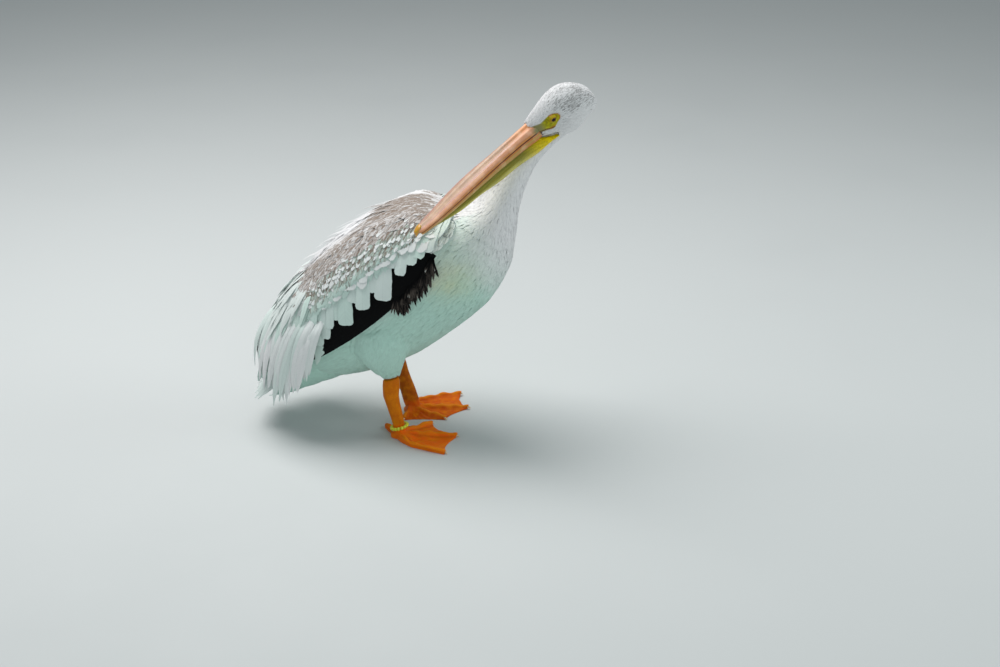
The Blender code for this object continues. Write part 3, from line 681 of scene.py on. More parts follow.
class PelicanPlumage(bpy.types.PropertyGroup):
    """Sizes and colours of skin and feathers."""

    skin_voxel: length("Skin mesh", "Edge length of the skin's mesh", 0.0036)
    head_depth: length("Head coat", "How deep the skin lies under the head's feathers", 0.0016)
    neck_depth: length("Neck coat", "How deep the skin lies under the neck's feathers", 0.0026)
    body_depth: length("Body coat", "How deep the skin lies under the body's feathers", 0.0052)
    wing_depth: length("Wing coat", "How deep the skin lies under the wing's feathers", 0.0060)
    white: colour("White", "Clean feathers", "#EBEAEB")
    # Painted shade: the tint laid on the underparts and on feathers in shade.
    painted_shade: colour("Cool white", "Underparts and shaded feathers", "#BAE3D4")
    cream: colour("Cream", "Tinge on the breast", "#DDD8A4")
    brown: colour("Brown", "Middles of the wing's small feathers", "#85766B")
    grey: colour("Grey", "Flecks on crown and cheek", "#5A5856")
    black: colour("Black", "Flight feathers", "#070708")


class PelicanSkin(bpy.types.PropertyGroup):
    """Colours of bare skin, horn and eyes."""

    face: colour("Face", "Bare skin round the eye", "#C2BC0A")
    face_dark: colour("Face, darker", "Patches in the bare skin", "#958C0E")
    face_orange: colour("Face, orange", "Rim of the bare skin and corner of the mouth", "#A8641A")
    lore: colour("Lore", "Bare skin before the eye", "#8A8556")
    mouth: colour("Mouth line", "Where the jaws meet", "#5E3410")
    iris: colour("Iris", "Iris", "#2A1A10")
    iris_pale: colour("Iris, paler", "Rays of the iris", "#4A3424")
    ridge: colour("Bill ridge", "Ridge near the forehead", "#EC9D65")
    ridge_far: colour("Bill ridge, further out", "Ridge from a third of the way", "#C19C82")
    flank: colour("Bill flank", "Sides of the upper jaw", "#D89973")
    edge: colour("Bill edge", "Cutting edge of the upper jaw", "#D88A3C")
    jaw: colour("Lower jaw", "Lower jaw", "#C29648")
    jaw_edge: colour("Lower jaw edge", "Upper edge of the lower jaw", "#CE7A30")
    nail: colour("Nail", "Hooked nail of the bill", "#C8A21A")
    pouch: colour("Pouch", "Side of the pouch", "#98913A")
    pouch_top: colour("Pouch, upper", "Pouch under the jaw", "#7D7A34")
    pouch_band: colour("Pouch, lower", "Pale lower fold of the pouch", "#CFC56A")
    throat: colour("Throat", "Rear end of the pouch", "#F0D400")


class PelicanLegs(bpy.types.PropertyGroup):
    """Sizes and colours of legs, claws and band."""

    leg_voxel: length("Leg mesh", "Edge length of the legs' mesh", 0.0016)
    shank: colour("Shank", "Near shank", "#D67000")
    # Painted shade: the far shank's colour is a darker copy of the near one's.
    shank_shaded: colour("Shank, redder", "Far shank", "#984600")
    web: colour("Web", "Near web and toes", "#FF7208")
    # Painted shade: the far foot's web, also laid in the creases beside the toes.
    web_shaded: colour("Web, darker", "Far web and toes", "#C65406")
    # Golden patches, and the painted highlight along the toes' ridges.
    gold_and_ridge_highlight: colour("Golden patches", "Paler scales", "#F59A0C")
    claw: colour("Claw", "Claws", "#E0C9A0")
    claw_dark: colour("Claw, darker", "Base of the claws", "#C9A56E")
    bead: colour("Bead", "Beads of the leg band", "#E8EC3A")
    bead_dark: colour("Bead, darker", "Swirls in the beads", "#C8CC1E")
    bead_length: length("Bead length", "Length of a bead along its thread", 0.0063)
    bead_width: length("Bead width", "Diameter of a bead", 0.0076)


class PelicanStage(bpy.types.PropertyGroup):
    """Floor, light and camera."""

    floor: colour("Floor", "Pale floor", "#C6C9C9")
    floor_size: length("Floor size", "Width of the floor", 60.0)
    lens: bpy.props.FloatProperty(name="Lens", description="Focal length", default=77.004, min=1.0,
                                  unit="CAMERA")
    heading: bpy.props.FloatProperty(name="Heading", description="Camera heading, leftwards from +Y",
                                     default=math.radians(7.15203723), subtype="ANGLE")
    pitch: bpy.props.FloatProperty(name="Pitch", description="How far the camera looks down",
                                   default=math.radians(22.67127152), subtype="ANGLE")


SHARED = {}  # surfaces and materials that one operator makes and the next ones use

# ---- the surface that feathers lie on

HEAD, NECK, TRUNK, THIGH, WING, FLIGHT = range(6)
ZONE_NODES = {
    HEAD: ("head",),
    NECK: ("neck_upper", "neck_lower"),
    TRUNK: ("trunk",),
    THIGH: ("thigh_right", "thigh_left"),
    WING: ("wing_right", "wing_left"),
    FLIGHT: ("flight_feathers_right", "flight_feathers_left"),
}


class Surface:
    """A closed surface with its normals, which finds nearest places and scatters evenly spaced ones."""

    def __init__(self, mesh):
        mesh.calc_loop_triangles()
        self.triangles = read(mesh.loop_triangles, "vertices", 3, np.int32)
        self.points, self.normals = points_of(mesh), normals_of(mesh)
        self.tree = BVHTree.FromPolygons(self.points.tolist(), self.triangles.tolist())
        self.facing = unit(self.normals[self.triangles].mean(1))
        a, b, c = (self.points[self.triangles[:, k]] for k in range(3))
        self.areas = np.linalg.norm(np.cross(b - a, c - a), axis=1) / 2
        self.middles = (a + b + c) / 3

    def nearest(self, points):
        """(places on the surface, triangles) nearest to points."""
        flat = np.asarray(points).reshape(-1, 3)
        places, _, triangles, _ = zip(*(self.tree.find_nearest(p) for p in flat.tolist()))
        return np.array(places).reshape(np.shape(points)), np.array(triangles).reshape(np.shape(points)[:-1])

    def beside(self, side, margin=0.0):
        """The triangles on one side of the body's middle, which margin moves to the left."""
        return self.middles[:, 1] * side > (PLACED[1] + margin) * side

    def scatter(self, share, spacing):
        """(places, normals) about spacing apart; share, one number per triangle, is the chance of each."""
        weight = self.areas * np.clip(share, 0, 1)
        count = int(weight.sum() / spacing**2 * 3.2)
        if not count:
            return np.zeros((0, 3)), np.zeros((0, 3))
        chosen = LUCK.choice(len(weight), count, p=weight / weight.sum())
        u, v = LUCK.random((2, count, 1))
        u, v = np.where(u + v > 1, 1 - u, u), np.where(u + v > 1, 1 - v, v)
        a, b, c = (self.points[self.triangles[chosen, k]] for k in range(3))
        places = a + (b - a) * u + (c - a) * v
        kept = thinned(places, spacing)
        return places[kept], self.facing[chosen[kept]]


FAR_AWAY = (9.0, 9.0, 9.0)  # stands for a cell with no place in it yet


def thinned(places, spacing):
    """Indices of places kept so that no two are nearer than spacing."""
    kept, grid = [], {}
    around = [(i, j, k) for i in (-1, 0, 1) for j in (-1, 0, 1) for k in (-1, 0, 1)]
    cells = np.floor(places / spacing).astype(int).tolist()
    for index, ((x, y, z), place) in enumerate(zip(cells, places.tolist())):
        others = [grid.get((x + i, y + j, z + k), FAR_AWAY) for i, j, k in around]
        if min(math.dist(place, other) for other in others) >= spacing:
            grid[x, y, z] = place
            kept.append(index)
    return np.array(kept, int)


def flow_anchors():
    """Places along the bird and the way its feathers point there, from the bill back to the tail."""
    rows = np.asarray(SPINE)[:, :3] + PLACED
    places = [(a + b) / 2 for a, b in zip(rows, rows[1:])]
    ways = [unit(a - b) for a, b in zip(rows, rows[1:])]
    for x, back in ((0.05, 1.0), (0.02, 1.0), (-0.01, 1.0), (-0.04, 1.0), (-0.07, 0.9), (-0.10, 0.5)):
        places.append(from_head((x, 0.0, 0.0)))
        ways.append(unit(-back * AHEAD - (1 - back) * UPWARD))
    return np.array(places), np.array(ways)


def along_surface(ways, normals):
    """Ways, or a single one, turned to lie along the surface at each normal."""
    return unit(ways - normals * (ways * normals).sum(1)[:, None])


def lie(points, normals):
    """The way that feathers point at places on the body, along the surface."""
    places, ways = SHARED["flow"]
    weight = 1.0 / (((points[:, None] - places[None]) ** 2).sum(2) + 1.2e-3) ** 2
    way = (weight[..., None] * ways[None]).sum(1)
    t, turn = body_chart(points)
    side = np.sign(points[:, 1] - PLACED[1])[:, None]
    lean = np.radians(mix(10.0, 44.0, smooth(8, 60, turn)))[:, None]
    a = np.radians(turn)[:, None]
    down = -np.sin(a) * BODY_UP + side * np.cos(a) * TO_LEFT
    wing_way = -np.cos(lean) * BODY_WAY + np.sin(lean) * down
    share = (SHARED["on_wing"](points) * smooth(9.4, 8.4, t))[:, None]
    return along_surface(unit(way) * (1 - share) + wing_way * share, normals)


def turned(ways, normals, angles):
    """Ways turned about their normals, in radians."""
    angles = angles[:, None]
    return unit(ways * np.cos(angles) + np.cross(normals, ways) * np.sin(angles))


def skin_places(points):
    """Each root's place on the skin's unwrap."""
    _, triangle = SHARED["skin"].nearest(points)
    return SHARED["skin_uv"][triangle]


# ---- feathers

EDGE_DROOP = 1.3  # how far a small feather's edges hang below its shaft, as a share of its ridge
FACE_MARGIN = 0.0004  # how far the head's feathers stay off the bare face, in metres
ROOT_MARGIN = 0.0003  # and their roots
BAKE_PATCH = 0.003  # width of a feather's patch on the OFBake map
SHAFT_HEIGHT = 0.0005  # how far a large feather's shaft stands out of its vane, in metres


def small_feathers(name, spine, normal, width, outline, ridge, mark, shade, edge_share):
    """Closed, low-ridged vanes of three sides. spine and normal are (feather, step, 3), outline one width a
    step, and edge_share how much of the dark marks the edges carry."""
    count, steps = spine.shape[:2]
    along = np.zeros((count, steps))
    along[:, 1:] = np.cumsum(np.linalg.norm(np.diff(spine, axis=1), axis=2), axis=1)
    ahead = unit(np.gradient(spine, axis=1))
    across = unit(np.cross(ahead, normal))
    half = (width[:, None] * np.asarray(outline)[None] / 2)[..., None]
    top = ridge * np.minimum(1.0, 1.3 * np.asarray(outline))[None, :, None]
    droop = normal * top * EDGE_DROOP
    rows = np.stack([spine - across * half - droop, spine + normal * top, spine + across * half - droop], 2)
    beside = np.concatenate([-half, 0 * half, half], 2)
    vane = np.stack([beside, np.repeat(along[..., None], 3, 2), 0 * beside], 3)
    first = np.arange(count)[:, None, None] * steps * 3 + np.arange(steps - 1)[None, :, None] * 3
    quads = np.concatenate([first + np.array(one) for one in ((0, 3, 4, 1), (1, 4, 5, 2), (2, 5, 3, 0))], 1)
    start = np.arange(count)[:, None] * steps * 3
    caps = np.concatenate([start + np.array([0, 1, 2]), start + (steps - 1) * 3 + np.array([2, 1, 0])], 0)
    obj = build_mesh(name, rows.reshape(-1, 3), quads.reshape(-1, 4), caps)
    dark = np.array([edge_share, 1.0, edge_share])[None, None, :, None]
    marks = np.repeat(np.repeat(mark[:, None, None], steps, 1), 3, 2)
    marks = np.concatenate([marks[..., :3] * dark, marks[..., 3:]], 3)
    local = np.stack(np.broadcast_arrays(np.array([-0.5, 0.0, 0.5]), np.linspace(0, 1, steps)[:, None]), 2)
    places = skin_places(spine[:, 0])[:, None, None] + local * BAKE_PATCH
    return dressed(obj, marks, vane, np.repeat(shade, steps * 3, 0), places)


def dressed(obj, marks, vane, shade, places):
    """Gives feathers the attributes that their material reads, and a UV map named OFBake, for each vertex."""
    mesh = obj.data
    for name, values in (("mark", marks), ("vane", vane), ("shade", shade)):
        put_attribute(mesh, name, values.reshape(-1, values.shape[-1]))
    corners = read(mesh.loops, "vertex_index", 1, np.int32)[:, 0]
    place = np.ascontiguousarray(places.reshape(-1, 2)[corners], np.float32)
    mesh.uv_layers.new(name="OFBake").uv.foreach_set("vector", place.ravel())
    return obj


def along_body(roots, normals, ways, lengths, steps, depth, rise, free):
    """Spines that rise from the skin and follow the surface, or leave it by free, 0 to 1: (spine, normal)."""
    hull = SHARED["hull"]
    place, normal, way = roots.copy(), normals.copy(), ways.copy()
    line, facing = [place], [normal]
    for _ in range(steps - 1):
        ahead = place + way * (lengths / (steps - 1))[:, None]
        clung, triangle = hull.nearest(ahead)
        held = (1 - free)[:, None]
        place = ahead + (clung - ahead) * held
        normal = unit(normal + (hull.facing[triangle] - normal) * held)
        way = unit(way - normal * (way * normal).sum(1)[:, None] * held)
        line.append(place)
        facing.append(normal)
    spine, facing = np.stack(line, 1), np.stack(facing, 1)
    share = np.linspace(0, 1, steps)[None]
    height = -depth * (1 - share) ** 3.2 - 0.0006 * (1 - share) + rise[:, None] * share**1.5
    return spine + facing * height[..., None], facing


def tones(count, painted_shade, tone):
    """The share of painted shade, tone and own number of each feather; a pair is a range that the value is
    drawn from.
    """
    if isinstance(painted_shade, tuple):
        painted_shade = LUCK.uniform(*painted_shade, count)
    return stacked(np.zeros(count) + painted_shade, LUCK.uniform(*tone, count), LUCK.random(count))


def coat(name, share, spacing, size, width, depth, rise, steps, outline, spread, ridge=0.0002, way=lie,
         free=None, keep=None, edge_share=0.15, tone=(0.55, 1.0), marks=markings):
    """One piece of small feathers scattered over the hull: spacing, size, width, the depth of the roots, the
    rise of the tips and the ridge in metres, spread in degrees. size and width may depend on the roots."""
    hull = SHARED["hull"]
    roots, normals = hull.scatter(share, spacing)
    if keep is not None:
        kept = keep(roots)
        roots, normals = roots[kept], normals[kept]
    ways = turned(way(roots, normals), normals, np.radians(LUCK.normal(0, spread, len(roots))))
    count = len(roots)
    grown = LUCK.uniform(0.82, 1.15, count)
    sized = size(roots) if callable(size) else np.full(count, size)
    wide = width(roots) if callable(width) else np.full(count, width)
    lift = rise * LUCK.uniform(-0.6, 1.4, count)
    loose = np.zeros(count) if free is None else free(roots)
    spine, facing = along_body(roots, normals, ways, sized * grown, steps, depth, lift, loose)
    if name.startswith("coat_head"):
        clear = (bare_face(spine.reshape(-1, 3)).reshape(count, steps) < -FACE_MARGIN).all(1)
        spine, facing, roots, wide, grown = (values[clear] for values in (spine, facing, roots, wide, grown))
        count = len(roots)
    mark, painted_shade = marks(roots)
    shade = tones(count, painted_shade, tone)
    obj = small_feathers(name, spine, facing, wide * grown, outline, ridge, mark, shade, edge_share)
    return finish_piece(obj, SHARED["white_plumage"], "white_plumage")


def ragged_tips(count, columns, depth, power, jag):
    """How far each column of each vane runs: less towards the edges, and each ended at its own place."""
    return 1 - depth * np.abs(columns) ** power - LUCK.uniform(0, jag, (count, len(columns)))


def shaft_marks(shaft, brown=0.0, width=0.08):
    """Colour shares of a white vane with a thin darker line along its shaft, and brown near its root."""
    def marks(u, s, which):
        line = hill(u / width)
        tint = brown * (0.40 + 0.60 * line) * smooth(1.1, 0.3, s)
        return np.stack([tint, 0 * u, shaft * line, 0 * u], 3)
    return marks


def narrow_root(s):
    """Width of a short vane along its shaft."""
    return mix(0.6, 1.0, smooth(0.0, 0.5, s))


def pointed(s):
    """Width of a long feather along its shaft: a narrow root, a broad middle and a slim tip."""
    return mix(0.55, 1.0, smooth(0.0, 0.45, s)) * mix(1.0, 0.30, smooth(0.62, 1.0, s))


def broad_feathers(name, spine, normal, width, columns, outline, reach, marks, shade, slot="white_plumage",
                   camber=0.10, thickness=0.0006, edge_wave=0.02):
    """Large closed vanes. spine and normal are (feather, step, 3); outline(s) is the width along the shaft,
    reach (feather, column) how far each column runs, and marks(u, s, feather) the four colour shares."""
    count, steps = spine.shape[:2]
    u = np.broadcast_to(np.asarray(columns, float)[None, None], (count, steps, len(columns)))
    s = np.linspace(0, 1, steps)[None, :, None] * reach[:, None, :]
    at = s * (steps - 1)
    low = np.minimum(at.astype(int), steps - 2)
    part = (at - low)[..., None]
    which = np.arange(count)[:, None, None]
    place, up, ahead = (rows[which, low] * (1 - part) + rows[which, low + 1] * part
                        for rows in (spine, normal, np.gradient(spine, axis=1)))
    up = unit(up)
    across = unit(np.cross(unit(ahead), up))
    half = (width / 2)[:, None, None] * outline(s)
    wave = edge_wave * np.abs(u) ** 2 * LUCK.normal(0, 1, s.shape)
    lift = -camber * half * u**2 + SHAFT_HEIGHT * (np.abs(u) < 0.08)
    top = place + across * (half * u * (1 + wave))[..., None] + up * lift[..., None]
    points = np.stack([top, top - up * thickness], 1)
    wide = len(columns)
    sheet = steps * wide
    a = (np.arange(steps - 1)[:, None] * wide + np.arange(wide - 1)).ravel()
    upper = stacked(a, a + wide, a + wide + 1, a + 1)
    lower = upper[:, ::-1] + sheet
    rim = np.concatenate([
        np.arange(wide), np.arange(1, steps) * wide + wide - 1,
        (steps - 1) * wide + np.arange(wide - 2, -1, -1), np.arange(steps - 2, 0, -1) * wide])
    after = np.roll(rim, -1)
    wall = stacked(rim, after, after + sheet, rim + sheet)
    one = np.concatenate([upper, lower, wall])
    quads = (one[None] + np.arange(count)[:, None, None] * sheet * 2).reshape(-1, 4)
    obj = build_mesh(name, points.reshape(-1, 3), quads)

    size = np.linalg.norm(np.diff(spine, axis=1), axis=2).sum(1)[:, None, None]
    vane = np.stack([half * u, s * size, 0 * s], 3)
    places = skin_places(spine[:, 0])[:, None, None] + np.stack([u / 2, s], 3) * BAKE_PATCH
    marks, vane, places = (np.stack([part, part], 1) for part in (marks(u, s, which), vane, places))
    dressed(obj, marks, vane, np.repeat(shade, sheet * 2, 0), places)
    return finish_piece(obj, SHARED[slot], slot)


# ---- skin

def refine(mesh, centre, radius):
    """Splits the edges within radius of a point in two."""
    work = bmesh.new()
    work.from_mesh(mesh)
    near = [v for v in work.verts if (v.co - Vector(centre)).length < radius]
    edges = {e for v in near for e in v.link_edges}
    bmesh.ops.subdivide_edges(work, edges=list(edges), cuts=1, use_grid_fill=True)
    bmesh.ops.triangulate(work, faces=[f for f in work.faces if len(f.verts) > 4])
    work.to_mesh(mesh)
    work.free()


def spread_out(mesh, values, rounds):
    """Averages per-vertex values with their neighbours."""
    a, b = read(mesh.edges, "vertices", 2, np.int32).T
    count = np.bincount(a, minlength=len(values)) + np.bincount(b, minlength=len(values))
    for _ in range(rounds):
        total = np.bincount(a, values[b], len(values)) + np.bincount(b, values[a], len(values))
        values = 0.5 * values + 0.5 * total / np.maximum(count, 1)
    return values


def zones_of(points):
    """The zone whose CAD solids are nearest, for each point."""
    distance = []
    for nodes in ZONE_NODES.values():
        meshes = [frame["nodes"][node].data for node in nodes]
        trees = [BVHTree.FromPolygons([v.co for v in mesh.vertices], [p.vertices for p in mesh.polygons])
                 for mesh in meshes]
        distance.append([min(tree.find_nearest(p)[3] for tree in trees) for p in points.tolist()])
    return np.argmin(np.array(distance), 0)


def shape_eye_sockets(points):
    """Lifts the skin over each eyeball as a lid, with the opening sunk behind the eye."""
    local = in_head(points)
    out = np.abs(local[:, 1])
    r = np.hypot(local[:, 0], local[:, 2])
    ball = EYE_OUT + np.sqrt(np.maximum(LID_RADIUS**2 - r**2, 0.0)) * smooth(0.0100, 0.0085, r)
    lid = (out + ball + np.sqrt((out - ball) ** 2 + 0.0010**2)) / 2
    lid = np.where(eye_opening(local) < 1.0, EYE_OUT + SLIT_SUNK, lid)
    near = (r < SOCKET_RADIUS) & (out > 0.012)
    local[near, 1] = (np.sign(local[:, 1]) * lid)[near]
    return from_head(local)


def eye_opening(local):
    """Under 1 inside the slit between the eyelids, which is longer than it is high and leans ahead."""
    ahead = local[:, 0] - LID_LEAN * local[:, 2]
    return np.hypot(ahead / LID_HALF_LENGTH, (local[:, 2] + 0.0002) / LID_HALF_HEIGHT)


FINER = (((0.016, 0.026, -0.004), 0.036), ((0.0, 0.030, 0.0), 0.0125))  # where the face's mesh is halved
FLESH_SWELL = 0.0007  # by which the solids are swollen so that they fuse, in metres
THIGH_DEPTH, FACE_DEPTH = 0.0032, 0.0008  # of the skin under the thighs' coat and on the bare face


class PELICAN_OT_skin(bpy.types.Operator):
    """Makes one skin over trunk, neck, head, thighs and wings, inside the solids by the coat's depth"""

    bl_idname = "pelican.skin"
    bl_label = "Skin"

    def execute(self, context):
        sizes = context.scene.pelican_plumage
        nodes = [node for group in ZONE_NODES.values() for node in group]
        skin = joined([merged_copy(node, "flesh", FLESH_SWELL) for node in nodes], "plumage_skin")
        remesh(skin, sizes.skin_voxel, 9)
        mesh = skin.data
        for side in (RIGHT, LEFT):
            for middle, radius in FINER:
                refine(mesh, from_head(np.array(middle) * (1, side, 1)), radius)
        move_points(mesh, points_of(mesh) - normals_of(mesh) * FLESH_SWELL)
        hull = Surface(mesh)
        SHARED["hull"], SHARED["flow"] = hull, flow_anchors()
        zone = zones_of(hull.points)
        hull.zone = zone[hull.triangles[:, 0]]
        SHARED["on_wing"] = lambda points: (hull.zone[hull.nearest(points)[1]] == WING).astype(float)
        depths = np.array([sizes.head_depth, sizes.neck_depth, sizes.body_depth, THIGH_DEPTH,
                           sizes.wing_depth, sizes.wing_depth])[zone]
        face = smooth(-0.0015, 0.0005, bare_face(hull.points))
        depths = mix(spread_out(mesh, depths, 8), FACE_DEPTH, face)
        local = in_head(shape_eye_sockets(hull.points - hull.normals * depths[:, None]))
        inside_bill = smooth(0.033, 0.044, local[:, 0]) * (zone == HEAD)
        local[:, 1:] *= mix(1.0, 0.80, inside_bill)[:, None]
        move_points(mesh, from_head(local))
        mark, painted_shade = markings(hull.points)
        t, _ = body_chart(hull.points)
        black = spread_out(mesh, (zone == FLIGHT).astype(float), 3)
        mark[:, 1] = smooth(0.0, 1.0, black) * smooth(1.9, 2.6, t)
        put_attribute(mesh, "mark", mark)
        put_attribute(mesh, "shade", stacked(painted_shade, 0 * painted_shade, 0 * painted_shade))
        put_attribute(mesh, "bare", self.face_colours(hull.points))
        SHARED["skin"] = Surface(mesh)
        self.unwrap(skin)
        material = skin_material(sizes, context.scene.pelican_skin)
        flesh = [node for zone, group in ZONE_NODES.items() if zone != FLIGHT for node in group]
        finish_piece(skin, material, "white_plumage", flesh, smooth_angle=80.0)
        return {"FINISHED"}

    def face_colours(self, points):
        """Bare, orange, lore and mouth-line shares."""
        local = in_head(points)
        flat = local[:, (0, 2)]
        bare = smooth(-0.0010, 0.0006, bare_face(points))
        border = smooth(0.0038, 0.0006, bare_face(points)) * (flat[:, 0] < 0.004) * (flat[:, 1] > -0.010)
        gape = hill((flat[:, 0] - 0.010) / 0.012, (flat[:, 1] + 0.0175) / 0.0030)
        ring = smooth(1.9, 1.3, eye_opening(local)) * (flat[:, 1] > -0.002) * 0.5
        orange = np.clip(0.85 * border + 0.95 * gape + ring, 0, 1)
        lore = smooth(0.016, 0.030, flat[:, 0])
        mouth = smooth(0.0016, 0.0006, near_line(flat, MOUTH_LINE)) * (np.abs(local[:, 1]) > 0.006)
        return stacked(np.maximum(bare, mouth * (bare > 0.02)), orange, lore, mouth)

    def unwrap(self, skin):
        """Unwraps the skin and keeps the place of each of its triangles."""
        mesh = skin.data
        mesh.uv_layers.new(name="OFBake")
        with editing(skin):
            bpy.ops.uv.smart_project(angle_limit=math.radians(70), island_margin=0.002)
        mesh.calc_loop_triangles()
        places = read(mesh.uv_layers["OFBake"].uv, "vector", 2)
        SHARED["skin_uv"] = places[read(mesh.loop_triangles, "loops", 3, np.int32)].mean(1)


# ---- bill

BILL_START, BILL_END = 0.030, 0.359  # ahead of the eyes
BILL = (  # share of the length, half width, heights of ridge and cutting edge, depth of the lower jaw
    (0.00, 0.0185, 0.0162, -0.0075, 0.0155),
    (0.16, 0.0188, 0.0156, -0.0045, 0.0145),
    (0.34, 0.0205, 0.0146, -0.0038, 0.0125),
    (0.52, 0.0240, 0.0130, -0.0038, 0.0110),
    (0.69, 0.0236, 0.0082, -0.0064, 0.0095),
    (0.86, 0.0195, 0.0010, -0.0092, 0.0075),
    (0.95, 0.0150, -0.0010, -0.0105, 0.0055),
    (1.00, 0.0085, -0.0035, -0.0110, 0.0040),
)
NAIL = (  # place beyond the bill's end, half width, heights of top and foot
    (-0.019, 0.0050, 0.0008, -0.0060),
    (-0.013, 0.0076, 0.0002, -0.0075),
    (-0.006, 0.0073, -0.0018, -0.0120),
    (-0.001, 0.0052, -0.0052, -0.0150),
    (0.0006, 0.0026, -0.0100, -0.0168),
    (0.0002, 0.0002, -0.0140, -0.0170),
)
THROAT_STEP = 0.021  # metres from one row of THROAT to the next, from 20 mm behind the eyes
THROAT = ((0.0355,), (0.0335,), (0.0235,), (0.0125,), (0.0045,), (0.0,))  # drop of the pouch's upper edge


def bill_row(x):
    """(half width, ridge, cutting edge, depth of the lower jaw) of the bill at x."""
    share = np.clip((x - BILL_START) / (BILL_END - BILL_START), 0.0, 1.0)
    rows = np.asarray(BILL)
    return np.moveaxis(row_at(rows, np.interp(share, rows[:, 0], np.arange(len(rows))))[..., 1:], -1, 0)


def ringed(name, place, along, around):
    """A closed tube: place(s, t) gives points in the head's axes and the bill attribute, t going round."""
    obj = primitive("grid", name, x_subdivisions=along, y_subdivisions=around, size=2.0)
    grid = points_of(obj.data)
    local, look = place((grid[:, 0] + 1) / 2, (grid[:, 1] + 1) / 2)
    move_points(obj.data, from_head(local))
    put_attribute(obj.data, "bill", look)
    with editing(obj):
        bpy.ops.mesh.remove_doubles(threshold=2e-5)
        bpy.ops.mesh.fill_holes(sides=0)
        bpy.ops.mesh.normals_make_consistent(inside=False)
    return obj


def around_jaw(half, middle, ends, t):
    """(share across, share of the height) round a jaw's section: up one side, over the middle, down the other
    side and back through the points that close it."""
    outline = half + middle + [(-w, h) for w, h in half[::-1]] + ends + half[:1]
    shape = row_at(outline, t * (len(outline) - 1))
    return shape[:, 0], np.clip(shape[:, 1], 0.0, 1.0)


def upper_jaw(s, t):
    """The upper mandible: a low ridge between broad flanks, with a sunk line on each side of the ridge."""
    half = [(1.0, 0.0), (1.0, 0.20), (0.97, 0.38), (0.74, 0.62), (0.40, 0.76), (0.20, 0.94)]
    across, high = around_jaw(half, [(0.0, 1.0)], [(-0.5, 0.06), (0.5, 0.06)], t)
    x = mix(BILL_START, BILL_END - 0.004, s)
    width, ridge, edge, _ = bill_row(x)
    groove = hill((high - 0.70) / 0.035) * smooth(0.06, 0.30, s) * 0.0007
    wave = 0.00018 * np.sin(high * 44.0) * smooth(0.98, 0.5, high)
    z = mix(edge, ridge, high) - groove + wave
    blunt = smooth(0.965, 1.0, s) ** 2
    z = mix(-0.006, z, mix(1.0, 0.80, blunt))
    y = across * width
    return stacked(x, y * mix(1.0, 0.62, blunt), z), stacked(s, high, y)


def lower_jaw(s, t):
    """The lower mandible, closed against the upper one."""
    half = [(1.0, 0.0), (1.03, 0.18), (1.02, 0.40), (0.92, 0.80), (0.72, 1.0)]
    across, low = around_jaw(half, [], [(-0.4, 0.0), (0.4, 0.0)], t)
    x = mix(BILL_START + 0.003, BILL_END - 0.010, s)
    width, _, edge, depth = bill_row(x)
    across = across * mix(1.0, 0.96, s) * mix(0.80, 1.0, smooth(0.0, 0.035, s))
    z = edge - 0.0005 - depth * low
    return stacked(x, across * width, z), stacked(s, low, across * width)


def pouch(s, t):
    """The empty pouch drawn up between the arms of the lower jaw, with slack folds along it."""
    x = mix(0.0, 0.330, s)
    width, _, edge, depth = bill_row(x)
    low = row_at(THROAT, (x + 0.020) / THROAT_STEP)[:, 0] + 0.006 * smooth(0.06, 0.01, x)
    fall = depth + 0.032 * (1 - np.minimum(s, 1.0) ** 2.4) ** 0.6 - 0.004 - low
    back = smooth(0.0, 0.2, s)
    wide = width * mix(0.90, 0.70, s) * mix(0.42, 1.0, back)
    a = 2 * np.pi * t
    drop = 0.5 - 0.5 * np.cos(a)
    folds = 0.0009 * np.sin(drop * 15.0 + 2.5 * np.sin(s * 9.0)) * bump(drop) * smooth(0.0, 0.15, s)
    sag = 0.0012 * np.sin(s * 21.0 + 1.0) * drop**4
    y = (wide * (1 - 0.35 * drop**2) + folds) * np.sin(a)
    z = edge - 0.004 - low - fall * mix(0.93, 1.0, back) * drop + sag
    return stacked(x, y, z), stacked(s, 1 - drop, y)


def nail(s, t):
    """The hooked nail over the bill's tip."""
    beyond, half, top, foot = row_at(NAIL, s * (len(NAIL) - 1)).T
    a = 2 * np.pi * t
    z = (top + foot) / 2 + (top - foot) / 2 * np.cos(a)
    y = half * np.sin(a)
    return stacked(BILL_END + beyond, y, z), stacked(s, 0.3 + 0.2 * np.cos(a), y)


class PELICAN_OT_bill(bpy.types.Operator):
    """Makes the two jaws, the hooked nail and the pouch"""

    bl_idname = "pelican.bill"
    bl_label = "Bill and pouch"

    def execute(self, context):
        c = context.scene.pelican_skin
        upper = horn_material("bill_horn", c.ridge, c.ridge_far, c.flank, c.edge, 0.30, 0.8, face=c.lore)
        lower = horn_material("jaw_horn", c.jaw_edge, c.jaw, c.jaw, c.jaw_edge, 0.35, 0.0, roughness=0.44)
        tip = streaked_material("nail_horn", c.nail, c.edge, 220.0, 0.30, coat=0.4)
        for name, place, along, around, material, slot, node, angle in (
                ("upper_jaw", upper_jaw, 150, 72, upper, "bill_horn", "bill_upper", 60),
                ("lower_jaw", lower_jaw, 150, 48, lower, "bill_horn", "bill_lower", 60),
                ("bill_tip_nail", nail, 28, 32, tip, "nail_horn", "bill_nail", 60),
                ("throat_pouch", pouch, 150, 64, pouch_material(c), "pouch_skin", "bill_pouch", 80)):
            finish_piece(ringed(name, place, along, around), material, slot, (node,), angle)
        return {"FINISHED"}


# ---- eyes

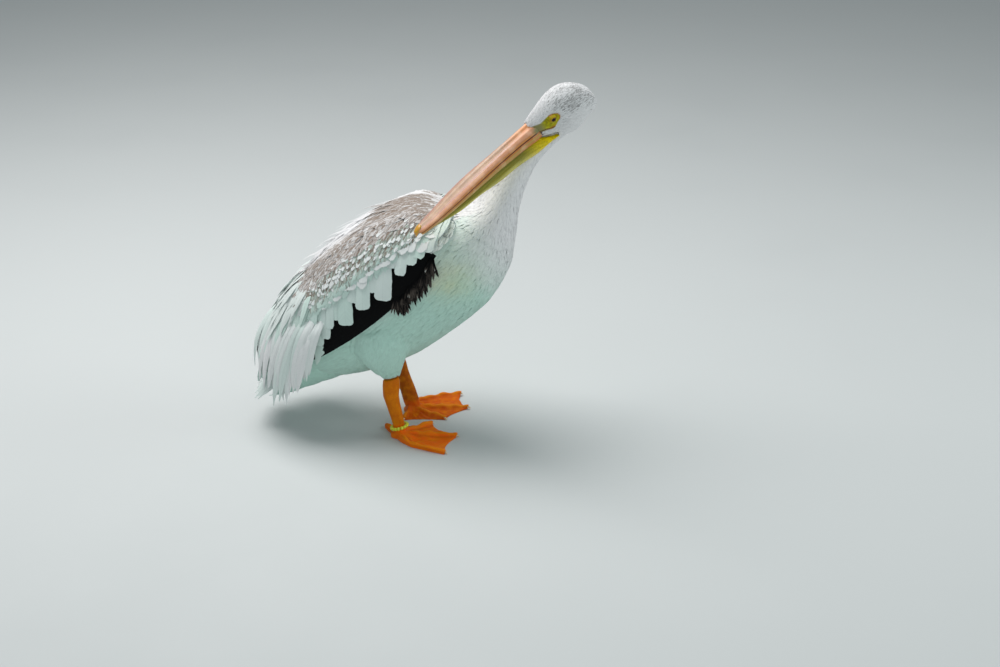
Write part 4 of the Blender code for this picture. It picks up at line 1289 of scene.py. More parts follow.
class PELICAN_OT_eyes(bpy.types.Operator):
    """Makes the eyeballs, each with a bulging cornea, and a fine rim of eyelid round them"""

    bl_idname = "pelican.eyes"
    bl_label = "Eyes"

    def execute(self, context):
        colours = context.scene.pelican_skin
        wet = eye_material(colours)
        rim = streaked_material("eyelid_skin", colours.face_orange, colours.face_dark, 700.0, 0.42)
        for side, name in SIDE_NAMES.items():
            node = f"eye_{name}"
            finish_piece(self.ball(side, node + "_ball"), wet, "eye", (node,), 80)
            finish_piece(self.lid(side, node + "_lid_rim"), rim, "pouch_skin", (), 80)
        return {"FINISHED"}

    def ball(self, side, name):
        """The eyeball, with the iris attribute: the share out from the pupil's middle, and the bearing."""
        obj = primitive("uv_sphere", name, segments=48, ring_count=28, radius=1.0)
        p = points_of(obj.data)
        bulge = 1.0 + 0.05 * smooth(0.86, 0.98, p[:, 2])
        local = stacked(p[:, 0], side * p[:, 2], p[:, 1]) * EYE_RADIUS * bulge[:, None]
        move_points(obj.data, from_head(local + np.array([0, side * EYE_OUT, 0])))
        out = np.arccos(np.clip(p[:, 2], -1, 1)) / (np.pi / 2)
        put_attribute(obj.data, "iris", stacked(out, *unit(p[:, :2] + 1e-6).T))
        face_outwards(obj)
        return obj

    def lid(self, side, name):
        """The rim of the slit between the eyelids, laid on the eyeball."""
        obj = primitive("torus", name, major_segments=56, minor_segments=12, major_radius=1.0,
                        minor_radius=0.13)
        p = points_of(obj.data)
        r = np.hypot(p[:, 0], p[:, 1])[:, None]
        flat = p[:, :2] * np.array([LID_HALF_LENGTH, LID_HALF_HEIGHT]) + (p[:, :2] / r) * (r - 1) * 0.0012
        flat[:, 0] += LID_LEAN * flat[:, 1]
        on_ball = EYE_OUT + np.sqrt(np.maximum(RIM_RADIUS**2 - (flat**2).sum(1), 0.0)) + p[:, 2] * 0.0042
        local = stacked(flat[:, 0], side * on_ball, flat[:, 1])
        move_points(obj.data, from_head(local))
        face_outwards(obj)
        return obj


# ---- legs, claws and band

TOES = ("outer", "middle", "inner", "hind")
TOE_RIDGE = 0.0040  # how far the bones and joints of a toe stand out of the web, in metres
TOE_BOW = 36.0  # degrees by which the outer toe starts further out than its tip
ANKLES = {RIGHT: (0.000, -0.074, 0.0), LEFT: (0.006, 0.057, 0.0)}  # where the toes meet, before centring
LEG_SWELL = 0.0004  # by which a leg's solids are swollen so that they fuse, in metres
CLAW_VOXEL = 0.0005
PLATE_GAP = 0.0042  # from one plate on the front of the shank to the next
FAR_LEG_SHADE = 0.75  # share of painted shade on the far leg, whose colours are darker copies of the near leg's


class PELICAN_OT_legs(bpy.types.Operator):
    """Makes the scaled shanks and webbed feet as one skin a side, and the claws"""

    bl_idname = "pelican.legs"
    bl_label = "Legs and claws"

    def execute(self, context):
        sizes = context.scene.pelican_legs
        scaled = leg_material(sizes)
        horn = streaked_material("claw_horn", sizes.claw, sizes.claw_dark, 300.0, 0.40, coat=0.2)
        for side, name in SIDE_NAMES.items():
            nodes = [f"shank_{name}", f"foot_{name}"]
            leg = joined([merged_copy(node, "leg", LEG_SWELL) for node in nodes], f"leg_skin_{name}")
            remesh(leg, sizes.leg_voxel, 3)
            self.shape(leg.data, side)
            finish_piece(leg, scaled, "leg_skin", nodes, 80)
            for toe in TOES:
                node = f"claw_{name}_{toe}"
                claw = merged_copy(node, node + "_horn")
                remesh(claw, CLAW_VOXEL, 3)
                finish_piece(claw, horn, "claw_horn", (node,), 80)
        return {"FINISHED"}

    def shape(self, mesh, side):
        """Ripples in the slack web, plates standing out on the shank, and the leg attribute, with painted
        highlights on the toes' ridges and painted shade in the creases.
        """
        normals = normals_of(mesh)
        points = points_of(mesh) - normals * LEG_SWELL
        ankle = np.array(ANKLES[side]) + PLACED * (1, 1, 0)
        off = points - ankle
        reach = np.hypot(off[:, 0], off[:, 1])
        bearing = np.arctan2(off[:, 1], off[:, 0])
        top = smooth(0.3, 0.8, normals[:, 2]) * smooth(0.024, 0.012, points[:, 2])
        ripple = np.sin(bearing * 27.0 + reach * 60.0) * 0.0007
        ripple += np.sin(bearing * 11.0 - reach * 90.0) * 0.0008
        ridge_light_and_crease_shade = np.zeros(len(points))
        for toe in TOES:
            claw = node_points(f"claw_{SIDE_NAMES[side]}_{toe}").mean(0) - ankle
            length = np.hypot(claw[0], claw[1])
            bow = side * math.radians(TOE_BOW) * (toe == "outer")
            bow = bow * np.clip(1 - reach / length, 0.0, 1.0) ** 1.2
            swing = bearing - math.atan2(claw[1], claw[0]) - bow
            beside = np.hypot(reach * np.sin(swing), np.maximum(reach - length, 0.0))
            beside = np.where(np.cos(swing) > 0, beside, 1.0)
            ripple += TOE_RIDGE * (1 + 0.3 * np.sin(reach * 210.0)) * hill(beside / 0.0040)
            # Painted light: a highlight along each toe's ridge, and painted shade in the crease beside it.
            ridge_light_and_crease_shade += hill(beside / 0.0032) - 0.9 * hill((beside - 0.0085) / 0.0035)
        on_web = top * smooth(0.015, 0.04, reach)
        points = points + normals * (ripple * on_web)[:, None]
        shank = smooth(0.022, 0.034, points[:, 2])
        rings = np.sin(points[:, 2] * 2 * np.pi / PLATE_GAP) * 0.00025 * shank
        rings = rings * smooth(0.2, 0.9, normals[:, 0])
        points = points + normals * rings[:, None]
        points[:, 2] = np.maximum(points[:, 2], 0.0)
        move_points(mesh, points)
        # Painted shade on the far leg.
        far = np.full(len(points), FAR_LEG_SHADE if side == LEFT else 0.0)
        put_attribute(mesh, "leg", stacked(1 - shank, ridge_light_and_crease_shade * on_web, far))


BEADS = 15
BAND_RADIUS, THREAD_RADIUS = 0.0168, 0.0007


class PELICAN_OT_band(bpy.types.Operator):
    """Strings yellow beads round the right ankle"""

    bl_idname = "pelican.band"
    bl_label = "Leg band"

    def execute(self, context):
        sizes = context.scene.pelican_legs
        points = node_points("leg_band")
        middle = points.mean(0)
        _, _, (along, across, axis) = np.linalg.svd(points - middle, full_matrices=False)
        pieces = []
        for a in (2 * math.pi * k / BEADS for k in range(BEADS)):
            out = along * math.cos(a) + across * math.sin(a)
            round_way = -along * math.sin(a) + across * math.cos(a)
            pieces.append(self.bead(middle + out * BAND_RADIUS, round_way, out, axis, sizes))
        thread = primitive("torus", "thread", major_segments=72, minor_segments=8, major_radius=BAND_RADIUS,
                           minor_radius=THREAD_RADIUS)
        move_points(thread.data, points_of(thread.data) @ np.stack([along, across, axis]) + middle)
        band = joined(pieces + [thread], "bead_leg_band")
        face_outwards(band)
        plastic = streaked_material("moulded_bead_plastic", sizes.bead, sizes.bead_dark, 260.0, 0.28,
                                    coat=0.3)
        finish_piece(band, plastic, "bead_plastic", ("leg_band",))
        return {"FINISHED"}

    def bead(self, place, axle, out, up, sizes):
        """A fat disc-shaped bead on its thread, with rounded edges and a dimple round the hole."""
        obj = primitive("uv_sphere", "bead", segments=20, ring_count=14, radius=1.0)
        p = points_of(obj.data)
        r = np.hypot(p[:, 0], p[:, 1])
        around = p[:, :2] / np.maximum(r, 1e-6)[:, None] * (r**0.55)[:, None] * sizes.bead_width / 2
        half = np.sign(p[:, 2]) * np.abs(p[:, 2]) ** 0.7 * sizes.bead_length / 2
        half *= 1 - 0.25 * smooth(0.35, 0.0, r)
        move_points(obj.data, place + around[:, :1] * out + around[:, 1:] * up + half[:, None] * axle)
        return obj


# ---- coat of small feathers

CROWN = (0.70, 1.00, 0.75, 0.15)  # these rows are the width of a vane from root to tip
TAPERED = (0.60, 1.00, 0.90, 0.62, 0.12)
TAPERED_SHORT = (0.60, 1.00, 0.80, 0.12)
BLUNT = (0.50, 0.95, 1.00, 0.80, 0.22)
LONG = (0.45, 0.85, 1.00, 0.95, 0.72, 0.14)
PLUME = (0.40, 0.70, 0.90, 1.00, 1.00, 0.88, 0.60, 0.12)
THIGH_END = 0.146  # height at which the feathers of the legs end, in metres


def height(points):
    return points[:, 2]


def ahead_of_eyes(points):
    return in_head(points)[:, 0]


def graded(first, last, start, end, measure):
    """A size that goes from first to last while measure(roots) goes from start to end."""
    return lambda roots: mix(first, last, smooth(start, end, measure(roots)))


class PELICAN_OT_body_coat(bpy.types.Operator):
    """Grows the small feathers of head, neck, breast, belly, back, rump and thighs"""

    bl_idname = "pelican.body_coat"
    bl_label = "Body feathers"

    def execute(self, context):
        sizes = context.scene.pelican_plumage
        SHARED["white_plumage"] = plumage_material("feather_vane", sizes)
        SHARED["black_plumage"] = plumage_material("black_feather_vane", sizes, sheen=0.0, specular=0.06)
        hull = SHARED["hull"]
        t, turn = body_chart(hull.middles)
        zone = hull.zone
        local = in_head(hull.middles)
        head = (zone == HEAD) & (bare_face(hull.middles) < -ROOT_MARGIN) & (local[:, 0] < 0.052)
        coat("coat_head", head, 0.0016, graded(0.0055, 0.0140, 0.040, -0.070, ahead_of_eyes),
             graded(0.0020, 0.0030, 0.040, -0.060, ahead_of_eyes), sizes.head_depth, 0.0001, 4, CROWN, 11.0,
             tone=(0.6, 1.0), marks=self.head_marks, edge_share=0.5)
        nape = (zone == HEAD) & (local[:, 0] < -0.075)
        coat("coat_nape", nape, 0.0050, 0.024, 0.0030, sizes.head_depth, 0.0012, 5, TAPERED, 12.0)
        for side, name in SIDE_NAMES.items():
            own = (zone == NECK) & hull.beside(side, 0.03)
            coat(f"coat_neck_{name}", own, 0.0027, 0.020, 0.0056, sizes.neck_depth, 0.0001, 5, TAPERED, 8.0,
                 ridge=0.00025)
        trunk = zone == TRUNK
        front = 1 - smooth(3.2, 2.2, t)
        under = trunk & ~((turn < 60) & (t > 2.0) & (t < 8.9))
        for side, name in SIDE_NAMES.items():
            own = under & hull.beside(side)
            coat(f"coat_breast_{name}", own * front, 0.0037, 0.030, 0.0080, sizes.body_depth, 0.0001, 5,
                 TAPERED, 8.0)
        rump = trunk & (t < 3.4) & (t > 0.7)
        coat("coat_rump", rump, 0.0056, 0.046, 0.0125, sizes.body_depth, 0.0002, 5, TAPERED, 9.0,
             ridge=0.0004, way=self.rearwards)
        back = trunk & (turn < 66) & (t > 2.0) & (t < 9.4)
        coat("coat_back", back, 0.0052, 0.060, 0.0135, sizes.body_depth, 0.0002, 6, LONG, 8.0, ridge=0.0004)
        wisps = trunk & (turn < 40) & (t > 3.0) & (t < 8.0)
        coat("coat_back_wisps", wisps, 0.0150, 0.078, 0.0050, sizes.body_depth, 0.0110, 6, LONG, 14.0)
        coat("coat_thighs", zone == THIGH, 0.0031, graded(0.011, 0.022, 0.150, 0.185, height),
             graded(0.0042, 0.0068, 0.150, 0.185, height), THIGH_DEPTH, 0.0003, 4, TAPERED_SHORT, 12.0,
             ridge=0.0003, way=self.down, free=graded(0.0, 0.35, 0.165, 0.150, height),
             keep=lambda roots: height(roots) > THIGH_END)
        return {"FINISHED"}

    def head_marks(self, roots):
        """White with single dark-centred tufts over crown and cheek."""
        mark, painted_shade = markings(roots)
        mark[:, 2] = (LUCK.random(len(roots)) < 1.3 * mark[:, 2]) * LUCK.uniform(0.30, 0.80, len(roots))
        return mark, painted_shade

    def down(self, roots, normals):
        """Down the leg, wherever the roots are."""
        return along_surface(np.array([-0.12, 0.0, -1.0]), normals)

    def rearwards(self, roots, normals):
        """The usual lie of the feathers, turned towards the tail at the body's end."""
        t, _ = body_chart(roots)
        end = smooth(2.6, 1.2, t)[:, None]
        hanging = along_surface(np.array([-0.80, 0.0, -0.60]), normals)
        return unit(lie(roots, normals) * (1 - end) + hanging * end)


COVERT_FRINGE = (  # place along the wing, turn of the tip, width of each great covert, from the front
    (8.30, 60.0, 0.027),
    (8.00, 66.0, 0.031),
    (7.70, 69.5, 0.036),
    (7.35, 71.0, 0.033),
    (7.02, 73.0, 0.033),
    (6.62, 77.5, 0.024),
    (5.70, 87.0, 0.038),
    (5.03, 84.5, 0.033),
    (4.28, 87.5, 0.031),
    (3.80, 82.0, 0.017),
    (3.48, 88.5, 0.019),
    (3.10, 90.0, 0.026),
    (2.65, 92.0, 0.028),
)
MEDIAN_ROWS = (  # turn of the tips, gap, length, width, height, first and last place, tip's roundness, brown
    (50.0, 0.110, 0.042, 0.0110, 0.0000, 3.3, 7.6, 0.30, 0.90),
    (54.5, 0.115, 0.046, 0.0120, -0.0008, 3.3, 7.8, 0.28, 0.65),
    (59.5, 0.165, 0.052, 0.0180, -0.0018, 3.0, 8.2, 0.20, 0.35),
    (64.0, 0.220, 0.058, 0.0245, -0.0030, 2.8, 8.35, 0.15, 0.15),
)


class PELICAN_OT_wing_coat(bpy.types.Operator):
    """Grows the wing's coverts, from the brown-centred small ones down to the square-tipped fringe"""

    bl_idname = "pelican.wing_coat"
    bl_label = "Wing coverts"

    def execute(self, context):
        sizes = context.scene.pelican_plumage
        hull = SHARED["hull"]
        t, turn = body_chart(hull.middles)
        wing = (hull.zone == WING) | ((hull.zone == FLIGHT) & (t < 2.6))
        upper = back_edge(t)
        for side, name in SIDE_NAMES.items():
            own = wing & hull.beside(side)
            scapular = own & ((turn < upper + 6) | ((t > 0.9) & (t < 3.0)))
            coat(f"scapulars_{name}", scapular, 0.0052, 0.060, 0.0130, sizes.wing_depth, 0.0003, 6, LONG, 8.0,
                 ridge=0.0004, tone=(0.75, 1.0))
            lesser = own & (turn > upper - 2) & (turn < 60) & (t > 3.3)
            coat(f"lesser_coverts_{name}", lesser, 0.0043, 0.026, 0.0098, sizes.wing_depth, 0.0006, 5, BLUNT,
                 14.0, ridge=0.0004, edge_share=0.45, marks=self.covert_marks)
            plumed = own & (t > 0.80) & (t < 3.9) & (turn < mix(92, 80, smooth(2.2, 3.0, t)))
            coat(f"rear_plumes_{name}", plumed, 0.0078, self.plume_length, 0.0140, sizes.wing_depth, 0.0008,
                 8, PLUME, 7.0, ridge=0.0005, tone=(0.8, 1.0), way=self.hanging, free=self.looseness,
                 marks=self.plume_marks)
            tipped = own & (t > 2.9) & (t < 4.3) & (turn < 48)
            coat(f"scapular_tips_{name}", tipped, 0.0110, lambda p: LUCK.uniform(0.070, 0.095, len(p)),
                 0.0130, sizes.wing_depth, 0.0060, 8, PLUME, 7.0, ridge=0.0005, tone=(0.8, 1.0),
                 free=lambda p: LUCK.uniform(0.35, 0.80, len(p)), marks=self.plume_marks)
            self.median_coverts(side, name)
            self.great_coverts(side, name)
            self.wrist_feathers(side, name)
        return {"FINISHED"}

    def covert_marks(self, roots):
        """Brown shafts, some feathers darker than others."""
        mark, painted_shade = markings(roots)
        mark[:, 0] *= LUCK.uniform(0.45, 1.0, len(roots))
        dark = LUCK.random(len(roots)) < 0.12 * mark[:, 0]
        mark[:, 2] = dark * 0.55
        return mark, painted_shade

    def plume_marks(self, roots):
        """White with hardly a trace of the brown."""
        mark, painted_shade = markings(roots)
        mark[:, 0] *= 0.25
        # Painted shade on the plumes: a little everywhere, and more where the body has it.
        return mark, 0.25 + 0.5 * painted_shade

    def plume_length(self, roots):
        t, _ = body_chart(roots)
        return LUCK.uniform(0.060, 0.110, len(roots)) * mix(0.70, 1.0, smooth(0.9, 1.7, t))

    def looseness(self, roots):
        """How far each plume hangs clear of the body: more from the back than from the wing's end."""
        t, _ = body_chart(roots)
        most = np.interp(t, (0.9, 1.5, 1.9, 3.2), (0.95, 0.75, 0.50, 0.80))
        return LUCK.uniform(0.3, 1.0, len(roots)) * most

    def hanging(self, roots, normals):
        """Straight down and a little back, and along the wing further forward."""
        t, _ = body_chart(roots)
        ahead = smooth(2.9, 4.1, t)[:, None]
        down = along_surface(np.array([-0.30, 0.0, -0.95]), normals)
        return unit(lie(roots, normals) * ahead + down * (1 - ahead))

    def row(self, side, tip_t, tip_turn, length, lean, root_extra, tip_extra, steps, bend=0.0):
        """(points, normals) of spines over the wing that end at given places, with their lean in degrees."""
        share = np.linspace(0, 1, steps)[None]
        back = (1 - share) * length[:, None]
        angle = np.radians(lean[:, None] + bend * (1 - share))
        t = tip_t[:, None] + np.cos(angle) * back / ROW_STEP
        turn = tip_turn[:, None] - np.degrees(np.sin(angle) * back / WING_GIRTH)
        extra = mix(np.reshape(root_extra, (-1, 1)), tip_extra[:, None], share)
        return wing_line(t, turn, extra, side)

    def median_coverts(self, side, name):
        """Rows of soft white coverts, which lie over the roots of the great ones."""
        for rank, (turn_at, gap, size, wide, extra, start, end, roundness, brown) in enumerate(MEDIAN_ROWS):
            t = np.arange(start + 0.5 * gap * (rank % 2), end, gap)
            count = len(t)
            t = t + LUCK.uniform(-0.4, 0.4, count) * gap
            edge = turn_at - 9.0 * smooth(7.0, 8.4, t) + LUCK.normal(0, 3.2, count)
            lean = LUCK.normal(54, 8, count)
            tip = extra + LUCK.uniform(-0.0004, 0.0003, count)
            size = size * LUCK.uniform(0.85, 1.15, count)
            spine, normal = self.row(side, t, edge, size, lean, extra - 0.007, tip, 9, bend=-8.0)
            # Painted shade: a faint green-grey tint on every median covert.
            shade = tones(count, 0.10, (0.7, 1.0))
            u = np.linspace(-1, 1, 9)
            reach = ragged_tips(count, u, roundness, 2.2, 0.05)
            wide = wide * LUCK.uniform(0.75, 1.2, count)
            broad_feathers(f"median_coverts_{rank}_{name}", spine, normal, wide, u, narrow_root, reach,
                           shaft_marks(0.10, brown, 0.10), shade, camber=0.07, thickness=0.0005,
                           edge_wave=0.04)

    def great_coverts(self, side, name):
        """The long, square-ended coverts that hang apart like fingers over the black feathers."""
        t, edge, wide = np.array(COVERT_FRINGE).T
        shift = LUCK.uniform(-0.12, 0.12, len(t)) * (side == LEFT)
        outer = (t + shift, edge + LUCK.normal(0, 0.6, len(t)), wide)
        inner = (t - 0.16 + shift, edge - 9.0 + LUCK.normal(0, 1.0, len(t)), wide * 0.8)
        for rank, ((t, edge, wide), extra) in enumerate(((outer, -0.0070), (inner, -0.0088))):
            count = len(t)
            lean = np.interp(t, (2.5, 4.0, 5.5, 7.0, 8.3), (60, 55, 55, 50, 42)) + LUCK.normal(0, 1.5, count)
            size = 0.088 * smooth(9.6, 7.6, t) + 0.010
            tip = extra + LUCK.uniform(-0.001, 0.003, count)
            spine, normal = self.row(side, t, edge, size, lean, extra - 0.003, tip, 12, bend=5.0)
            # Painted shade: the great coverts hang in shade, so each one gets a green-grey tint of its own
            # strength.
            shade = tones(count, (0.3, 0.6), (0.75, 1.0))
            u = np.array([-1, -0.88, -0.7, -0.45, -0.2, 0, 0.2, 0.45, 0.7, 0.88, 1])
            reach = ragged_tips(count, u, 0.075, 7, 0.016)
            reach = np.minimum(reach + LUCK.normal(0, 0.012, (count, 1)) * u, 1.0)
            wide = wide * LUCK.uniform(0.94, 1.03, count)
            broad_feathers(f"great_coverts_{rank}_{name}", spine, normal, wide, u,
                           lambda s: mix(0.70, 1.0, smooth(0.0, 0.6, s)), reach,
                           shaft_marks(0.30, width=0.10), shade, camber=0.12)

    def wrist_feathers(self, side, name):
        """Narrow feathers that hang from the wrist at the wing's front, streaked dark along their shafts."""
        count = 70
        t = LUCK.uniform(7.9, 8.95, count)
        edge = mix(76.0, 62.0, smooth(7.9, 9.2, t)) - LUCK.uniform(0, 28, count)
        order = np.argsort(-edge)
        t, edge = t[order], edge[order]
        lean = LUCK.normal(66, 9, count)
        low = -0.0045 - 0.012 * smooth(8.1, 9.0, t)
        size = LUCK.uniform(0.032, 0.050, count)
        tip = low + np.linspace(0.0, 0.004, count)
        spine, normal = self.row(side, t, edge, size, lean, low - 0.008, tip, 8)
        # Painted shade: a light green-grey tint on each wrist feather.
        shade = tones(count, 0.25, (0.6, 1.0))
        u = np.linspace(-1, 1, 7)
        reach = ragged_tips(count, u, 0.25, 1.8, 0.08)
        dark = LUCK.random(count) < 0.30

        def marks(u, s, which):
            line = hill(u / 0.30) * smooth(0.2, 0.7, s)
            tip = dark[which] * hill((u - 0.8) / 0.5) * smooth(0.35, 0.8, s)
            return np.stack([0.5 * line, 0 * u, 0.7 * tip + 0.2 * line, 0 * u], 3)

        wide = LUCK.uniform(0.012, 0.018, count)
        broad_feathers(f"wrist_feathers_{name}", spine, normal, wide, u, narrow_root, reach, marks, shade,
                       camber=0.18, thickness=0.0005, edge_wave=0.05)


FLIGHT_EDGE = (  # turn of the flight feathers' lower edge at each row of ENVELOPE
    (104.0,), (104.5,), (104.0,), (103.0,), (101.5,), (99.5,), (96.5,), (90.5,), (77.0,),
)
RAGGED_EDGE = (  # places along the wing, and turn of the ragged coverts' lower edge there
    (5.6, 5.8, 6.2, 6.5, 6.9, 7.3, 7.6),
    (104, 109, 104, 103, 98.5, 93, 87),
)


def flight_edge(t):
    """Turn of the lower edge of the folded flight feathers, as the solids have it."""
    return row_at(FLIGHT_EDGE, t)[..., 0]


class PELICAN_OT_flight_feathers(bpy.types.Operator):
    """Makes the black flight feathers along the wing's lower edge and the ragged dark coverts on them"""

    bl_idname = "pelican.flight_feathers"
    bl_label = "Black flight feathers"

    def execute(self, context):
        for side, name in SIDE_NAMES.items():
            piece = self.black_feathers(side, f"black_flight_feathers_{name}")
            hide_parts(f"flight_feathers_{name}")
            self.ragged_coverts(side, f"primary_coverts_{name}")
        return {"FINISHED"}

    def black_feathers(self, side, name):
        """Long stiff feathers stacked on each other, the lowest longest."""
        count, steps = 11, 26
        rank = np.arange(count)[:, None]
        front = 7.95 - 0.10 * rank
        rear = 1.90 + 0.12 * rank + LUCK.uniform(-0.1, 0.1, (count, 1))
        share = np.linspace(0, 1, steps)[None]
        t = mix(front, rear, share)
        turn = flight_edge(t) - 5.0 - 4.2 * rank - 2.0 * smooth(0.85, 1.0, share)
        extra = -0.0158 + 0.00045 * rank + 0 * share
        spine, normal = wing_line(t, turn, extra, side)
        u = np.array([-1, -0.6, -0.25, 0, 0.25, 0.6, 1])
        reach = ragged_tips(count, u, 0.05, 1.6, 0.004)
        shade = tones(count, 0.0, (0.3, 1.0))

        def marks(u, s, which):
            return np.stack([0 * u, np.ones_like(u), 0.55 * hill(u / 0.07), 0 * u], 3)

        def outline(s):
            return mix(0.75, 1.0, smooth(0.0, 0.2, s)) * mix(1.0, 0.55, smooth(0.8, 1.0, s))

        return broad_feathers(name, spine, normal, np.full(count, 0.027), u, outline, reach, marks, shade,
                              "black_plumage", camber=0.12, edge_wave=0.01)

    def ragged_coverts(self, side, name):
        """Loose dark-brown feathers with split tips, drawn as bunches of narrow strands."""
        strands, bunches = 15, 12
        count = strands * bunches
        along = np.linspace(5.60, 7.45, bunches)
        t0 = np.repeat(along + LUCK.normal(0, 0.06, bunches), strands)
        low = np.repeat(np.interp(along, *RAGGED_EDGE) + LUCK.normal(0, 1.0, bunches), strands)
        fan = np.tile(np.linspace(-1, 1, strands), bunches)
        lean = 62 + fan * 13 + LUCK.normal(0, 5, count)
        size = LUCK.uniform(0.038, 0.064, count) * (1 - 0.20 * fan**2)
        share = np.linspace(0, 1, 7)[None]
        angle = np.radians(lean)[:, None]
        start_t = t0 + 0.030 * np.cos(np.radians(60)) / ROW_STEP + 0.25
        start_turn = low - np.degrees(0.050 * math.sin(math.radians(60)) / WING_GIRTH)
        t = start_t[:, None] - np.cos(angle) * share * size[:, None] / ROW_STEP
        turn = start_turn[:, None] + np.degrees(np.sin(angle) * share * size[:, None] / WING_GIRTH)
        curl = np.repeat(LUCK.uniform(-0.001, 0.004, bunches), strands)[:, None] * share**2
        sunk = 0.007 * smooth(0.40, 0.0, share)
        extra = -0.0110 - sunk + curl + LUCK.uniform(-0.0008, 0.0008, count)[:, None]
        spine, normal = wing_line(t, turn, extra, side)
        # Painted shade: a light green-grey tint, which shows only where the strands are pale.
        shade = tones(count, 0.3, (0.3, 1.0))
        u = np.array([-1, 0, 1])
        reach = ragged_tips(count, u, 0.12, 1, 0.05)
        brown = LUCK.uniform(0.15, 0.9, count)

        def marks(u, s, which):
            pale = 0.6 * smooth(0.60, 1.0, s) * (brown[which] < 0.25)
            black = np.clip(0.95 - 0.42 * brown[which] * smooth(0.1, 0.6, s) - pale, 0, 1)
            return np.stack([1 - pale, black, 0.5 * (1 - pale), 0 * u], 3)

        def outline(s):
            return mix(0.9, 1.0, s) * mix(1.0, 0.25, smooth(0.60, 1.0, s))

        wide = LUCK.uniform(0.0035, 0.0080, count)
        broad_feathers(name, spine, normal, wide, u, outline, reach, marks, shade, "black_plumage",
                       thickness=0.0004, edge_wave=0.05)


TERTIAL_ROOTS = ((-0.230, -0.020, 0.300), (-0.182, -0.110, 0.292), (-0.136, -0.136, 0.282))  # right side
TERTIAL_TIPS = ((-0.304, -0.038, 0.104), (-0.245, -0.104, 0.062), (-0.170, -0.127, 0.148))
TERTIAL_LAYERS = (  # feathers, width, height, share of the length
    (20, 0.0175, 0.0008, 1.0),
    (16, 0.0190, -0.0030, 0.95),
)


def through_three(ends, v):
    """Points at shares v, 0 to 1, of the curve through three points."""
    a, b, c = (np.asarray(p)[None] for p in ends)
    v = np.asarray(v)[:, None]
    return a * (2 * (v - 0.5) * (v - 1)) + b * (4 * v * (1 - v)) + c * (2 * v * (v - 0.5))


class PELICAN_OT_tertials(bpy.types.Operator):
    """Hangs the long white inner feathers from the wing's rear, past its tip"""

    bl_idname = "pelican.tertials"
    bl_label = "Tertials"

    def execute(self, context):
        for side, name in SIDE_NAMES.items():
            for rank, layer in enumerate(TERTIAL_LAYERS):
                piece = self.fan(side, f"tertials_{rank}_{name}_plumes", *layer)
                if rank == 0:
                    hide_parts(f"tertials_{name}")
        return {"FINISHED"}

    def fan(self, side, name, count, wide, up, longest):
        """One layer of tertials, from the one nearest the tail to the one on the flank."""
        v = np.linspace(0.02, 0.99, count) + LUCK.normal(0, 0.016, count)
        root, tip = through_three(TERTIAL_ROOTS, v), through_three(TERTIAL_TIPS, v)
        way = tip - root
        length = longest * LUCK.uniform(0.82, 1.03, count) * mix(0.92, 1.0, smooth(0.30, 0.44, v))
        tip = root + way * length[:, None]
        root = root - way * 0.10
        out = unit(stacked(-0.55 * (1 - v), -0.35 - 0.65 * v, 0.05 + 0 * v))
        share = np.linspace(0, 1, 16)[None, :, None]
        buried = LUCK.uniform(0.30, 0.52, (count, 1, 1))
        bulge = 0.014 * bump(share * 0.9) ** 0.8 - 0.012 * (1 - share) ** 3
        bulge = bulge - 0.034 * smooth(buried, 0.0, share) ** 1.4
        layer = up + np.linspace(0.0, 0.005, count)[:, None, None] * (1 - share * 0.6)
        layer = layer + 0.010 * (1 - v[:, None, None]) ** 2 * bump(share * 0.8)
        sway = LUCK.normal(0, 0.0070, (count, 1, 1)) * share**2
        side_way = unit(np.cross(unit(way), out))[:, None]
        droop = np.array([-0.013, 0.0, 0.0]) * bump(share) * mix(1.2, 0.6, v)[:, None, None]
        line = root[:, None] * (1 - share) + tip[:, None] * share
        line = line + out[:, None] * (bulge + layer) + side_way * sway + droop
        facing = np.broadcast_to(out[:, None], line.shape).copy()
        for array in (line, facing):
            array[..., 1] *= -side
        u = np.array([-1, -0.7, -0.35, 0, 0.35, 0.7, 1])
        reach = ragged_tips(count, u, 0.11, 1.5, 0.075)
        # Painted shade: some tertials get a green-grey tint, as if in shade.
        shade = tones(count, (0.0, 0.35), (0.8, 1.0))
        return broad_feathers(name, line + PLACED, facing, wide * LUCK.uniform(0.85, 1.12, count), u, pointed,
                              reach, shaft_marks(0.30), shade, camber=0.14, edge_wave=0.03)


TAIL_ROWS = (  # feathers, width, distance below the uppermost row, share of the length
    (17, 0.024, 0.0, 1.0),
    (14, 0.022, 0.006, 0.75),
    (13, 0.022, -0.008, 0.72),
    (12, 0.024, -0.018, 0.60),
    (11, 0.026, -0.028, 0.48),
)
UNDERTAIL_TIERS = (  # x of the tips, half the tier's width, share of the length ahead and up to the roots
    (-0.285, 0.050, 1.0),
    (-0.250, 0.060, 1.0),
    (-0.205, 0.068, 0.95),
    (-0.160, 0.074, 0.85),
)


def rolled(facing, degrees, shape):
    """One facing turned towards the left side by each feather's angle, repeated along the feathers."""
    roll = np.radians(degrees)[:, None]
    facing = np.cos(roll) * facing + np.sin(roll) * TO_LEFT
    return np.broadcast_to(facing[:, None], shape)


